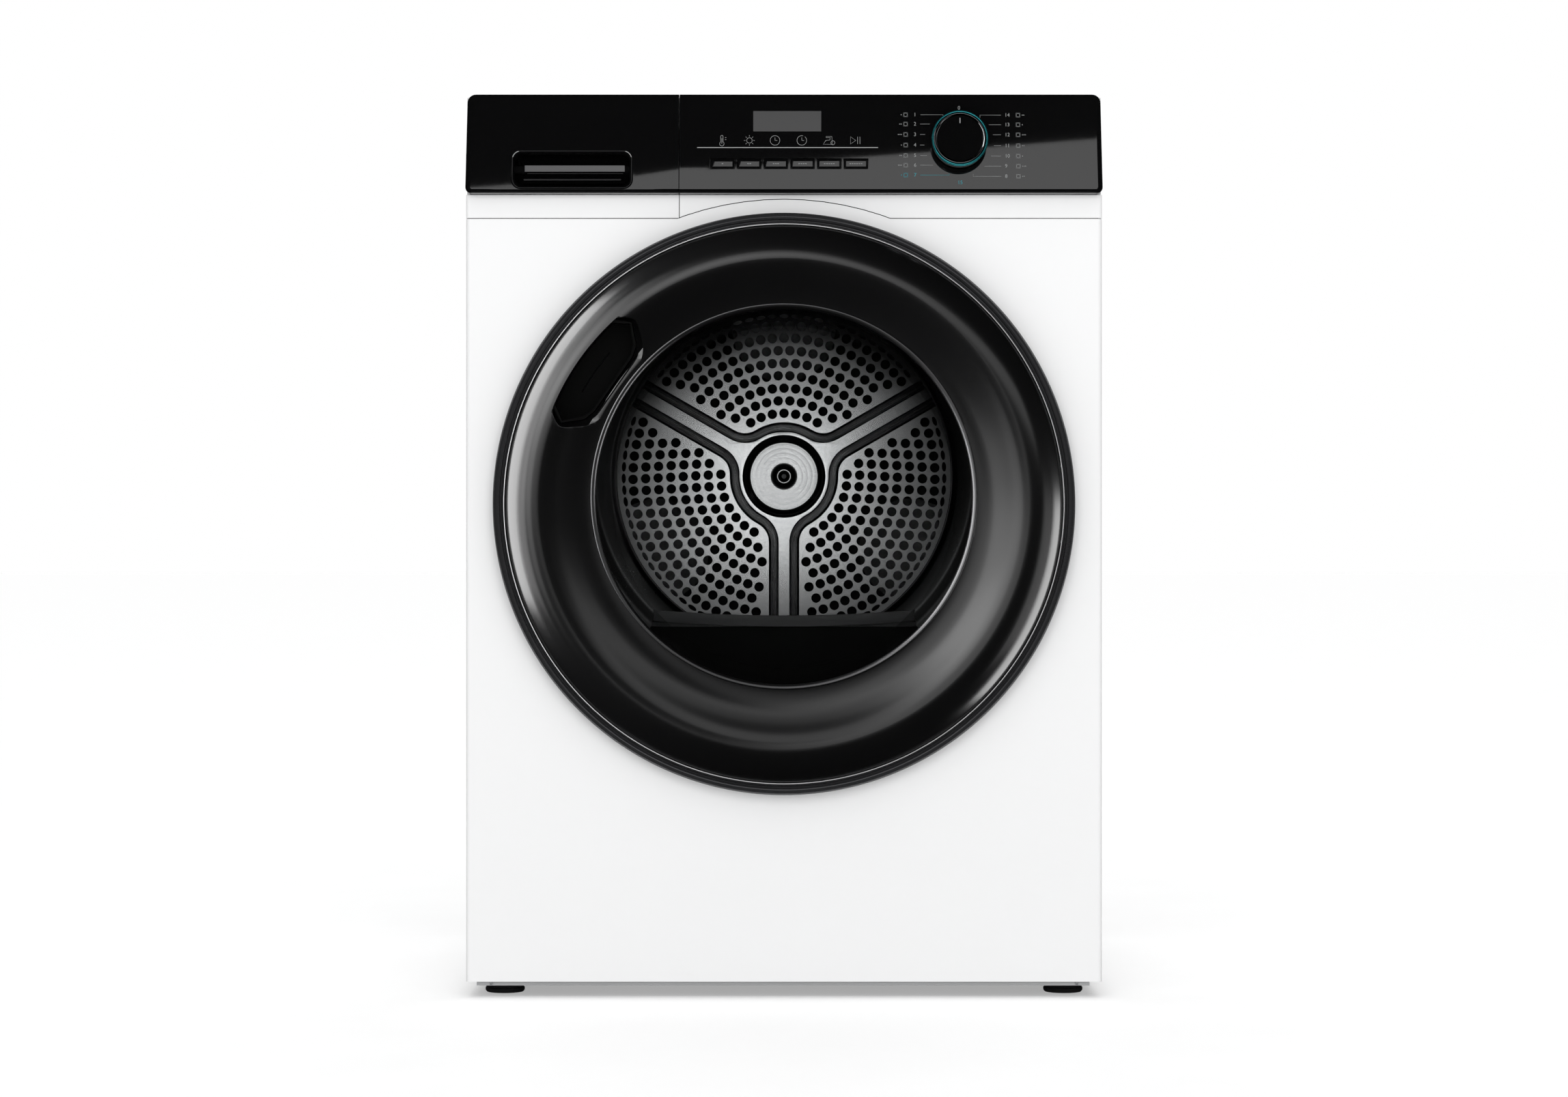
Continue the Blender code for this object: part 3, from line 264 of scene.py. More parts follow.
def soft(points, radius, count=4, closed=True):
    """The same line with its corners rounded. A corner on the axis, or an end, stays."""
    out = []
    for i, point in enumerate(points):
        corner = Vector(point)
        ends = not closed and i in (0, len(points) - 1)
        if ends or abs(corner.x) < 1e-9:
            out.append(tuple(corner))
            continue
        before, after = Vector(points[i - 1]) - corner, Vector(points[(i + 1) % len(points)]) - corner
        cut = min(radius, before.length * 0.48, after.length * 0.48)
        start, end = corner + before.normalized() * cut, corner + after.normalized() * cut
        for k in range(count + 1):
            t = k / count
            out.append(tuple(start * (1 - t) ** 2 + corner * (2 * t * (1 - t)) + end * t * t))
    return out


def lathe(profile, matrix, steps):
    """A solid of revolution about the local Y axis. The profile is (radius, place along Y)."""
    verts, faces, rings = [], [], []
    for radius, along in profile:
        if radius < 1e-7:
            rings.append([len(verts)] * steps)
            verts.append((0, along, 0))
            continue
        rings.append([len(verts) + i for i in range(steps)])
        turns = (math.tau * i / steps for i in range(steps))
        verts += [(radius * math.cos(t), along, radius * math.sin(t)) for t in turns]
    for a, b in zip(rings, rings[1:] + rings[:1]):
        for i in range(steps):
            j = (i + 1) % steps
            face = list(dict.fromkeys((a[i], b[i], b[j], a[j])))
            if len(face) > 2:
                faces.append(face)
    return mesh_of([matrix @ Vector(v) for v in verts], faces)


def bands(rows, count, closed=True):
    """Faces between rows of count points each."""
    faces = []
    for row in range(0, (rows - 1) * count, count):
        for i in range(count if closed else count - 1):
            a, b = row + i, row + (i + 1) % count
            faces.append((a, b, b + count, a + count))
    return faces


def skin(rings):
    """The closed solid through rings of points, with flat ends."""
    rows, count = len(rings), len(rings[0])
    ends = [range(count), range((rows - 1) * count, rows * count)]
    return mesh_of([point for ring in rings for point in ring], ends + bands(rows, count))


def loft(rings, matrix):
    """A closed solid through rings of (outline, place along Y)."""
    return skin([[matrix @ Vector((u, y, v)) for u, v in outline] for outline, y in rings])


CORNER_STEPS, BLOCK_STEPS = 6, 4


def offset_corners(corners, inset):
    """The outline of a convex run of (u, v, radius) corners, rounded and moved inwards."""
    points = [Vector(c[:2]) for c in corners]
    out = []
    for i, corner in enumerate(points):
        before = (corner - points[i - 1]).normalized()
        after = (points[(i + 1) % len(points)] - corner).normalized()
        normal_a, normal_b = Vector((-before.y, before.x)), Vector((-after.y, after.x))
        mitre = (normal_a + normal_b).normalized()
        moved = corner + mitre * (inset / mitre.dot(normal_a))
        radius = max(corners[i][2] - inset, 0.0003)
        turn = before.angle(after)
        cut = radius / math.tan(max(math.pi - turn, 0.1) / 2)
        start, end = moved - before * cut, moved + after * cut
        centre = start + Vector((-before.y, before.x)) * radius
        from_angle = math.atan2(start.y - centre.y, start.x - centre.x)
        for k in range(CORNER_STEPS + 1):
            angle = from_angle + turn * k / CORNER_STEPS
            out.append((centre.x + radius * math.cos(angle), centre.y + radius * math.sin(angle)))
    return out


def rectangle(x0, x1, z0, z1):
    return [(x0, z0), (x1, z0), (x1, z1), (x0, z1)]


def rounded_rectangle(low, high, radius, inset=0):
    corners = rectangle(low[0], high[0], low[1], high[1])
    return offset_corners([(*corner, radius) for corner in corners], inset)


def block(low, high, radius, edge, matrix=Matrix()):
    """A box with rounded sides seen from the front, and a rounded front edge."""
    rings = [(0, high[1])]
    for k in range(BLOCK_STEPS + 1):
        turn = math.pi / 2 * k / BLOCK_STEPS
        rings.append((edge * (1 - math.cos(turn)), low[1] + edge * (1 - math.sin(turn))))
    outlines = [(rounded_rectangle(low[::2], high[::2], radius, inset), y) for inset, y in rings]
    return loft(outlines, matrix)


def upright(x, y, z):
    """Stands a drawing up to face the front, at a place."""
    return Matrix(((1, 0, 0, x), (0, 0, -1, y), (0, 1, 0, z), (0, 0, 0, 1)))


def points_of(curve, points, closed):
    """Adds a line of straight runs to a curve."""
    spline = curve.splines.new("POLY")
    spline.points.add(len(points) - 1)
    for point, place in zip(spline.points, points):
        point.co = (*place, 1)
    spline.use_cyclic_u = closed


def plate(outlines, front, thickness, matrix, bevel=0):
    """A flat plate with holes and rounded edges. The first outline is the rim."""
    curve = bpy.data.curves.new("plate", "CURVE")
    curve.dimensions, curve.fill_mode = "2D", "BOTH"
    curve.extrude, curve.bevel_depth, curve.bevel_resolution = thickness / 2 - bevel, bevel, 1
    for outline in outlines:
        points_of(curve, [(u, v, 0) for u, v in outline], True)
    mesh = drawn(curve)
    mesh.transform(matrix @ upright(0, front + thickness / 2, 0))
    return cleaned(loaded(mesh))


def carved(mesh, *cutters):
    helpers = [added("cutter", cutter) for cutter in cutters]
    cuts = [{"object": helper, "operation": "DIFFERENCE", "solver": "EXACT"} for helper in helpers]
    made = drawn(mesh, *[("BOOLEAN", cut) for cut in cuts])
    for helper in helpers:
        bpy.data.objects.remove(helper)
    return made


def eased(mesh, width, angle=40):
    """The mesh with its sharp edges rounded."""
    limit = {"limit_method": "ANGLE", "angle_limit": math.radians(angle)}
    return drawn(mesh, ("BEVEL", {"width": width, "segments": 2, **limit}))


def tube(points, radius, matrix=Matrix(), closed=False, resolution=1):
    """A thin round line through points in space."""
    curve = bpy.data.curves.new("tube", "CURVE")
    curve.dimensions, curve.bevel_depth = "3D", radius
    curve.bevel_resolution, curve.use_fill_caps = resolution, True
    points_of(curve, points, closed)
    mesh = drawn(curve)
    mesh.transform(matrix)
    return cleaned(loaded(mesh))


def numeral(text, size, place, align="CENTER"):
    """A printed number on the control panel."""
    curve = bpy.data.curves.new("numeral", "FONT")
    curve.body, curve.size, curve.align_x, curve.align_y = text, size, align, "CENTER"
    curve.extrude, curve.resolution_u = PRINT_HEIGHT / 2, 3
    mesh = drawn(curve)
    mesh.transform(FACE @ upright(place[0], -PRINT_HEIGHT / 2, place[1]))
    return cleaned(loaded(mesh))


def piece(name, mesh, body, look, slot=None, stands_for=(), degrees=35, flat=False):
    """A finished piece on its body. flat keeps large faces flat beside rounded edges. No look: its slot's."""
    made = added(name, mesh)
    mesh.name = name
    mesh.materials.clear()
    mesh.materials.append(look or LOOK[slot])
    mesh.shade_smooth()
    mesh.set_sharp_from_angle(angle=math.radians(degrees))
    if flat:
        made.modifiers.new("normals", "WEIGHTED_NORMAL").keep_sharp = True
    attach(made, body)
    if stands_for:
        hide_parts(*stands_for)


def fine(node, mesh, look=None, degrees=35, flat=False):
    """A finer piece in place of a frame node, on the same body and with the same slot."""
    slot = SLOT_OF[node]
    piece(node + "_fine", mesh, BODY_OF[node], look, slot, (node,), degrees, flat)


# -------- control panel and tank front

PRINT_HEIGHT = 0.00012
SEAM_X, SEAM = -0.0979, 0.0006
PANEL_HALF, PANEL_TOP_HALF, PANEL_BACK_Y, PANEL_EDGE, EDGE_STEPS = 0.2975, 0.296, -0.2522, 0.0048, 6
# Holes in the panel, across and up, and how far in front of and behind its face they are cut.
WINDOW, WINDOW_HOLE = (-0.0288, 0.0348, 0.8095, 0.8289), (-0.0291, 0.0351, 0.8092, 0.8292)
CUT = (-0.01, 0.006)
BUTTON_X, BUTTON_PITCH, BUTTON_Z, BUTTON_GAP = -0.0574, 0.0249, 0.779, 0.0005
BUTTON_W, BUTTON_H = 0.0227, 0.0091
# How far in each ring of a key's surface is, and its place along Y.
BUTTON_RINGS = [(0, 0.0046), (0, 0.001), (0.0003, 0.0004), (0.0011, 0.0002)]
BUTTON_RINGS += [(0.0014, -0.0001), (0.0017, -0.0003), (0.0022, -0.0004)]
DIAL_X, DIAL_Z, DIAL_STEM_R, DIAL_BORE_R, DIAL_BORE_END = 0.1634, 0.799, 0.0031, 0.0036, 0.0112


def on_face(x, z):
    """A point of the leaning panel's own plane, from its place seen from the front."""
    return x, (z - FACE_Z) / math.cos(TILT)


def face_box(x0, x1, z0, z1, front, back, radius, edge=0.0003):
    """A block in the panel's plane, with places seen from the front."""
    (u0, v0), (u1, v1) = on_face(x0, z0), on_face(x1, z1)
    return block((u0, front, v0), (u1, back, v1), radius, edge, FACE)


def panel_block(x0, x1):
    """The black panel between two places across, with a leaning face and a rounded edge round it."""
    low, high = FASCIA_BOTTOM, FASCIA_TOP
    corners = [(-PANEL_HALF, low, 0.006), (PANEL_HALF, low, 0.006)]
    corners += [(PANEL_TOP_HALF, high, 0.008), (-PANEL_TOP_HALF, high, 0.008)]
    rings = [[(x, PANEL_BACK_Y, z) for x, z in offset_corners(corners, 0)]]
    for k in range(EDGE_STEPS + 1):
        turn = math.pi / 2 * k / EDGE_STEPS
        front = FACE_BOTTOM_Y + PANEL_EDGE * (1 - math.sin(turn))
        outline = offset_corners(corners, PANEL_EDGE * (1 - math.cos(turn)))
        rings.append([(x, front + leaning(z), z) for x, z in outline])
    past_end = PANEL_HALF + 0.0125
    spare = [(start, end) for start, end in ((-past_end, x0), (x1, past_end)) if end - start > 0.02]
    cutters = [block((start, -0.32, 0.74), (end, -0.22, 0.86), 0.001, 0.0005) for start, end in spare]
    return carved(skin(rings), *cutters)


def glossy_front(node, mesh):
    fine(node, eased(mesh, 0.00035), degrees=40, flat=True)


def key_ends(i, grow=0.0):
    """Where a key starts and ends, across and up."""
    x = BUTTON_X + i * BUTTON_PITCH
    half_w, half_h = BUTTON_W / 2 + grow, BUTTON_H / 2 + grow
    return x - half_w, x + half_w, BUTTON_Z - half_h, BUTTON_Z + half_h


def make_fascia():
    cutters = [face_box(*WINDOW_HOLE, *CUT, 0.0006)]
    cutters += [face_box(*key_ends(i, BUTTON_GAP), *CUT, 0.0009) for i in range(6)]
    u, v = on_face(DIAL_X, DIAL_Z)
    bore = [(0, CUT[0]), (DIAL_BORE_R, CUT[0]), (DIAL_BORE_R, DIAL_BORE_END), (0, DIAL_BORE_END)]
    cutters.append(lathe(bore, FACE @ at(u, 0, v), 32))
    glossy_front("fascia_black", carved(panel_block(SEAM_X + SEAM / 2, 0.31), *cutters))
    fine("display_window", face_box(*WINDOW, 0.0001, 0.0022, 0.0005, 0.0002), flat=True)


MOUTH_LOW, MOUTH_HIGH, MOUTH_RADIUS = (-0.253, 0.7567), (-0.1425, 0.7907), 0.0075


def mouth(grow, radius):
    """The outline of the tank's grip, grown on all sides."""
    (x0, z0), (x1, z1) = MOUTH_LOW, MOUTH_HIGH
    return rounded_rectangle((x0 - grow, z0 - grow), (x1 + grow, z1 + grow), radius)


def grip_piece(name, mesh, look, stands_for=(), flat=True):
    piece(name, mesh, "tank", look, "black_plastic", stands_for, flat=flat)


def make_tank_front():
    wide, narrow = mouth(0.0016, MOUTH_RADIUS + 0.0016), mouth(0, MOUTH_RADIUS)
    opening = loft([(wide, -0.3), (wide, -0.2772), (narrow, -0.2752), (narrow, -0.2515)], Matrix())
    glossy_front("tank_front_black", carved(panel_block(-0.31, SEAM_X - SEAM / 2), opening))

    shell = [(0.0008, -0.2535), (0.0008, -0.2742), (-0.0012, -0.2745)]
    shell += [(-0.002, -0.272), (-0.0032, -0.258), (-0.005, -0.256)]
    cup = loft([(mouth(grow, MOUTH_RADIUS), y) for grow, y in shell], Matrix())
    bar = block((-0.252, -0.2735, 0.7702), (-0.1435, -0.269, 0.7772), 0.0012, 0.0012)
    shelf = block((-0.248, -0.262, 0.761), (-0.1475, -0.255, 0.765), 0.0008, 0.0012)
    # The lip is a painted highlight: a grey strip for the light on top of the bar.
    lip = block((-0.242, -0.2748, 0.7716), (-0.1485, -0.2725, 0.7776), 0.0006, 0.0004)
    # The edge line and the ledge below the bar are painted light: dim grey lines on the black moulding.
    edge_line = block((-0.2395, -0.2746, 0.7697), (-0.15, -0.273, 0.7702), 0.0002, 0.0001)
    ledge = block((-0.243, -0.2738, 0.7636), (-0.152, -0.2725, 0.765), 0.0005, 0.0003)
    grip_piece("tank_grip_cup", cup, LOOK["black_gloss"], ("tank_grip",))
    grip_piece("tank_grip_bar", joined(bar, shelf), LOOK["black_gloss"])
    grip_piece("tank_grip_highlight_strip", lip, GRIP_PAINTED_HIGHLIGHT)
    grip_piece("tank_grip_soft_light_lines", joined(edge_line, ledge), GRIP_PAINTED_SOFT_LIGHT)
    # The rim round the grip's mouth is painted light: a dim grey line for the light on its chamfer.
    brim = [(x, FACE_BOTTOM_Y + leaning(z), z) for x, z in mouth(0.0004, MOUTH_RADIUS + 0.0004)]
    grip_piece("tank_grip_rim_soft_light", tube(brim, 0.0003, closed=True), GRIP_PAINTED_SOFT_LIGHT, flat=False)
    # Painted highlights: two light grey arcs at the grip's upper corners stand in for glints.
    glints = joined(tube(brim[15:20], 0.0004), tube(brim[22:27], 0.0004))
    grip_piece("tank_grip_painted_glints", glints, PRINT, flat=False)
    top = soft(rectangle(-0.2775, -0.1105, -0.2495, 0.1835), 0.006)
    lid = plate([top], 0, 0.0014, Matrix(), 0.0004)
    lid.transform(Matrix(((1, 0, 0, 0), (0, 0, 1, 0), (0, -1, 0, 0.8095), (0, 0, 0, 1))))
    piece("tank_lid", lid, "tank", None, "grey_plastic")


def make_buttons():
    for i in range(6):
        x0, x1, z0, z1 = key_ends(i)
        (u0, v0), (u1, v1) = on_face(x0, z0), on_face(x1, z1)
        rings = []
        for inset, y in BUTTON_RINGS:
            low, high = (u0 + inset, v0 + inset), (u1 - inset, v1 - inset)
            rings.append((rounded_rectangle(low, high, max(0.0009 - inset, 0.0003)), y))
        fine(f"button_{i + 1}", loft(rings, FACE), degrees=25, flat=True)
        mark_button(i + 1, (u0 + u1) / 2, (v0 + v1) / 2)


def mark_button(count, u, v):
    """A small generic sign on each key, from one to six dashes."""
    marks = []
    for k in range(count):
        middle = u + (k - (count - 1) / 2) * 0.0021
        low, high = (middle - 0.0007, -0.00046, v - 0.0004), (middle + 0.0007, -0.0003, v + 0.0004)
        marks.append(block(low, high, 0.0002, 0.00003, FACE))
    piece(f"button_{count}_marks", joined(*marks), f"button_{count}", FINE_PRINT)


def line(points, radius, closed=False):
    """A printed line on the panel, half sunk into its face. Points are seen from the front."""
    sunk = [(u, 0, v) for u, v in (on_face(x, z) for x, z in points)]
    return tube(sunk, radius, FACE, closed)


def ring_line(x, z, radius, width, start=0, end=360):
    points = arc(radius, start, end, 24, (x, z))
    return line(points[:-1], width, True) if end - start >= 360 else line(points, width)


def make_icons():
    """The six signs over the keys, and the line below them."""
    z, width, grow = 0.801, 0.00017, 1.22
    shapes = []

    def draw(x, points, closed=False):
        shapes.append(line([(x + u * grow, z + v * grow) for u, v in points], width, closed))

    def loop(x, u, v, radius, start=0, end=360):
        shapes.append(ring_line(x + u * grow, z + v * grow, radius * grow, width, start, end))

    bulb = arc(0.0009, 0, 180, 8, (0, 0.003)) + arc(0.0017, 122, 418, 16, (0, -0.0026))
    draw(-0.058, bulb, True)  # thermometer
    draw(-0.058, [(0, -0.0026), (0, 0.0018)])
    for v in (0.0006, 0.0022):
        draw(-0.058, [(0.0024, v), (0.0034, v)])
    loop(-0.0323, 0, 0, 0.0021)  # sun
    for angle in range(0, 360, 45):
        draw(-0.0323, [polar(0.003, angle), polar(0.004, angle)])
    for x, start, end in ((-0.0084, 0, 360), (0.0166, 75, 410)):  # two clocks
        loop(x, 0, 0, 0.0037, start, end)
        draw(x, [(0, 0.0022), (0, 0), (0.0017, 0)])
    iron = [(-0.004, -0.003), (0.003, -0.003), (0.0026, 0.003), (-0.0018, 0.003), (-0.0018, 0.0021)]
    iron += [(0.0014, 0.0021), (0.0012, 0.0004), (-0.002, 0)]
    draw(0.0415, iron, True)
    loop(0.0415, 0.0034, -0.0018, 0.0015)
    draw(0.0665, [(-0.0036, -0.0028), (-0.0036, 0.0028), (0.0004, 0)], True)  # start and pause
    for u in (0.0018, 0.0036):
        draw(0.0665, [(u, -0.0028), (u, 0.0028)])
    shapes.append(line([(-0.081, 0.7942), (0.0877, 0.7942)], 0.0004))
    piece("panel_icons", joined(*shapes), "cabinet", PRINT)


LEFT_ROWS = (0.8253, 0.8165, 0.8066, 0.7966, 0.7868, 0.7776)
RIGHT_ROWS = (0.8249, 0.8158, 0.8063, 0.796, 0.7862, 0.7767, 0.7671)
# The number 7 stands apart from the others: it and the number 15 are in colour.
TEAL_ROW = 0.7683
LEADER, FIGURE, LEADER_REACH, HOOK = 0.00019, 0.0048, 0.0325, 0.0022
LEFT_LEADER, LEFT_FIGURE, LEFT_SIGN = 0.127, 0.1235, 0.1135
RIGHT_LEADER, RIGHT_FIGURE, RIGHT_SIGN = 0.2025, 0.206, 0.2185


def reach(z, least):
    """How far from the dial's middle a leader line ends at a height."""
    return math.sqrt(max(LEADER_REACH**2 - (z - DIAL_Z) ** 2, least**2))


def make_dial_marks():
    """Numbers round the dial, with a leader line and a care symbol to each."""
    marks = []
    for i, z in enumerate(LEFT_ROWS):
        start, end, hook = LEFT_LEADER, DIAL_X - reach(z, 0.012), []
        if i == 0:
            start, end = start + 0.0005, end + 0.004
            hook = [(end + 0.0006, z - HOOK)]
        figure = numeral(str(i + 1), FIGURE, on_face(LEFT_FIGURE, z), "RIGHT")
        marks += [line([(start, z), (end, z)] + hook, LEADER), figure]
        marks += care_symbol(LEFT_SIGN, z, i)
    for i, z in enumerate(RIGHT_ROWS):
        end = DIAL_X + reach(z, 0.013)
        hook = {0: [(end, z - HOOK)], 6: [(end, z + HOOK)]}.get(i, [])
        figure = numeral(str(14 - i), FIGURE, on_face(RIGHT_FIGURE, z), "LEFT")
        marks += [line(hook + [(end, z), (RIGHT_LEADER, z)], LEADER), figure]
        marks += care_symbol(RIGHT_SIGN, z, 13 - i)
    marks.append(line([(DIAL_X, 0.8262), (DIAL_X, 0.829)], LEADER))
    marks.append(numeral("0", 0.005, on_face(DIAL_X, 0.8316)))
    piece("dial_marks", joined(*marks), "cabinet", FINE_PRINT)
    teal = [line([(LEFT_LEADER, TEAL_ROW), (0.154, TEAL_ROW), (0.154, 0.7696)], LEADER)]
    teal.append(numeral("7", FIGURE, on_face(LEFT_FIGURE, TEAL_ROW), "RIGHT"))
    teal.append(numeral("15", FIGURE, on_face(DIAL_X + 0.0008, 0.7612)))
    teal += care_symbol(LEFT_SIGN, TEAL_ROW, 6)
    piece("dial_marks_teal", joined(*teal), "cabinet", TEAL_PRINT)


def care_symbol(x, z, i):
    """The common sign for tumble drying, a circle in a square, with one to three dots of heat."""
    half, width = 0.0019, 0.00014
    square = rectangle(x - half, x + half, z - half, z + half)
    made = [line(square, width, True), ring_line(x, z, 0.0016, width)]
    away = 1 if x > DIAL_X else -1
    for k in range(i % 3 + 1):
        made.append(ring_line(x + away * 0.004 + away * k * 0.0014, z, 0.0003, 0.0002))
    return made


def make_dial():
    u, v = on_face(DIAL_X, DIAL_Z)
    centre = FACE @ at(u, 0, v)

    def turned(profile, radius):
        return lathe(soft(profile, radius), centre, 96)

    skirt = [(0, -0.015), (0.0225, -0.015), (0.0232, -0.0152), (0.0256, -0.0163), (0.0262, -0.015)]
    skirt += [(0.0258, -0.01), (0.0252, -0.004), (0.0262, -0.0006), (DIAL_STEM_R, -0.0006)]
    skirt += [(DIAL_STEM_R, 0.01), (0, 0.01)]
    piece("dial_skirt", turned(skirt, 0.0006), "dial", DARK_CHROME, "black_gloss", ("dial_knob",))
    cap = [(0, -0.0195), (0.012, -0.0196), (0.0205, -0.0193), (0.0215, -0.0184), (0.0217, -0.0152)]
    cap.append((0, -0.0152))
    piece("dial_cap", turned(cap, 0.0007), "dial", None, "black_gloss")
    chrome = [(0.0219, -0.0155), (0.0221, -0.019), (0.0232, -0.0197), (0.0243, -0.0193), (0.0243, -0.0155)]
    piece("dial_chrome", turned(chrome, 0.0004), "dial", DARK_CHROME)
    ring = [(0.0244, -0.0168), (0.0244, -0.0194), (0.0251, -0.0198), (0.026, -0.0194), (0.0264, -0.0184)]
    ring += [(0.0264, -0.0168)]
    fine("dial_ring", turned(ring, 0.0004))
    low, high = (u - 0.0004, -0.01985, v + 0.014), (u + 0.0004, -0.0192, v + 0.019)
    pointer = block(low, high, 0.00035, 0.0001, FACE)
    piece("dial_pointer", pointer, "dial", PRINT)


# -------- door

DOOR_STEPS, PORTHOLE_STEPS = 288, 240
POCKET_INNER, POCKET_SHOULDER, POCKET_MIDDLE, POCKET_END_R, POCKET_OUTER = 0.1985, 0.2035, 0.21, 0.22, 0.232
POCKET_START, POCKET_END = 130.5, 159.5


def pocket(inner, ends):
    """The finger pocket's outline, grown by different amounts at its inner side and at its ends."""
    turn = math.degrees(ends / POCKET_MIDDLE)
    start, end = POCKET_START - turn, POCKET_END + turn
    points = arc(POCKET_OUTER, start + 3, end - 3, 10)
    side, shoulder = POCKET_INNER - inner, POCKET_SHOULDER - inner * 0.8
    points += [polar(POCKET_END_R, end), polar(shoulder, end - 3), polar(side, end - 5.5)]
    points += [polar(side, start + 5.5), polar(shoulder, start + 3), polar(POCKET_END_R, start)]
    return soft(points, 0.006, 3)


def make_door():
    dish_front = [(0.2598, -0.279), (0.2598, -0.285), (0.2572, -0.2886), (0.252, -0.2928), (0.246, -0.2962)]
    dish_front += [(0.239, -0.2989), (0.231, -0.2999), (0.224, -0.299), (0.215, -0.2958), (0.205, -0.2912)]
    dish_front += [(0.195, -0.2872), (0.186, -0.2848), (0.176, -0.2839), (0.164, -0.2838)]
    back = [(0.164, -0.2808), (0.186, -0.2815), (0.217, -0.2945), (0.23, -0.2968), (0.243, -0.293)]
    back += [(0.256, -0.283), (0.2568, -0.271), (0.2598, -0.271)]
    dish = lathe(soft(dish_front, 0.004, 3, closed=False) + back, DOOR, DOOR_STEPS)
    bore = [(0, -0.33), (0.183, -0.33), (0.18, -0.285), (0.1776, -0.2834), (0.1772, -0.2822)]
    bore += [(0.1772, -0.26), (0, -0.26)]
    # How far the pocket is grown at its inner side and at its ends, at each place along Y.
    steps = [(0.013, 0.008, -0.33), (0.0105, 0.0065, -0.29), (0.0098, 0.0056, -0.2856)]
    steps += [(0.0062, 0.0036, -0.2852), (0.0048, 0.0028, -0.284), (0.0014, 0.001, -0.2834)]
    steps += [(0, 0, -0.2822), (0, 0, -0.26)]
    rings = [(pocket(inner, ends), y) for inner, ends, y in steps]
    hinge_room = block((0.2255, -0.2832, 0.425), (0.2642, -0.26, 0.498), 0.001, 0.0005)
    hinge_side = block((0.26, -0.2792, 0.425), (0.28, -0.26, 0.498), 0.001, 0.0005)
    cut = carved(dish, lathe(bore, PORTHOLE, PORTHOLE_STEPS), loft(rings, DOOR), hinge_room, hinge_side)
    fine("door_dish", eased(cut, 0.0005, 50), DISH_BLACK, degrees=30)

    ring = [(0.2604, -0.2664), (0.2604, -0.2846), (0.2612, -0.2858), (0.2622, -0.2856), (0.2628, -0.2838)]
    ring += [(0.2642, -0.2836), (0.2652, -0.2866), (0.2668, -0.2872), (0.2694, -0.2858), (0.2712, -0.2826)]
    ring += [(0.2716, -0.278), (0.2712, -0.273), (0.269, -0.2703), (0.2632, -0.2664)]
    ring_mesh = carved(lathe(soft(ring, 0.0006, 2), DOOR, DOOR_STEPS), hinge_room, hinge_side)
    fine("door_ring", ring_mesh, degrees=30)
    # Painted highlight: this light grey bead stands in for the bright edge line between the ring and the dish.
    hairline = [(0.26015, -0.2845), (0.26015, -0.2864), (0.2605, -0.2868), (0.26085, -0.2864)]
    hairline.append((0.26085, -0.2845))
    piece("door_painted_edge_highlight", lathe(hairline, DOOR, DOOR_STEPS), "door", PAINTED_EDGE_HIGHLIGHT, "ring_grey")

    bowl = [(0.19, -0.279), (0.1762, -0.279), (0.1728, -0.26), (0.1685, -0.24), (0.16, -0.225)]
    bowl += [(0.143, -0.214), (0.105, -0.2095), (0, -0.208)]
    outside = [(0, -0.2045), (0.1056, -0.206), (0.1442, -0.2104), (0.1628, -0.2224), (0.172, -0.239)]
    outside += [(0.1763, -0.2597), (0.1793, -0.2755), (0.19, -0.2755)]
    fine("door_glass", lathe(soft(bowl + outside, 0.004, 5), PORTHOLE, 200), degrees=50)
    rim = [(0.1752, -0.2812), (0.1754, -0.283), (0.1768, -0.2846), (0.1788, -0.2853), (0.18, -0.285)]
    rim += [(0.18, -0.28), (0.1752, -0.28)]
    rim_mesh = lathe(soft(rim, 0.0006, 3), PORTHOLE, PORTHOLE_STEPS)
    piece("door_glass_rim", rim_mesh, "door", PORTHOLE_GREY, "ring_grey")
    seal = [(0.183, -0.2661), (0.196, -0.2661), (0.196, -0.264), (0.1932, -0.2598), (0.189, -0.2575)]
    seal += [(0.185, -0.2598), (0.183, -0.264)]
    fine("door_seal", lathe(soft(seal, 0.0015, 3), PORTHOLE, 160))
    rib = [(x, -0.2728, DOOR_Z + z) for x, z in arc(0.2155, 139, 151, 12)]
    piece("door_pocket_rib", tube(rib, 0.0005), "door", LOOK["black_gloss"], "black_plastic")


# -------- drum

ARM_HALF, HUB_R, SECTOR_R = 0.0155, 0.057, 0.177
STAR_FILLET, STAR_TURN, SECTORS = 0.022, 30, (0, 120, 240)
HOLE_R, ROW_PITCH, HOLE_PITCH = 0.005, 0.0133, 0.0124
FULL_ROWS, FIRST_ROW_R, SQUEEZED_ROW_R, SQUEEZE = 8, 0.067, 0.17, 0.45
BACK_Y, SHEET = 0.203, 0.001
WALL_R, LIFTER_FOOT_R = 0.2845, 0.2848
LIFTER_FRONT_Y, LIFTER_LENGTH, LIFTER_HALF, LIFTER_HEIGHT = -0.1345, 0.299, 0.033, 0.05
LIFTER_STEPS, LIFTER_PARTS = 14, 12


def spun(points, degrees):
    turn = Matrix.Rotation(math.radians(degrees), 2)
    return [tuple(turn @ Vector(p)) for p in points]


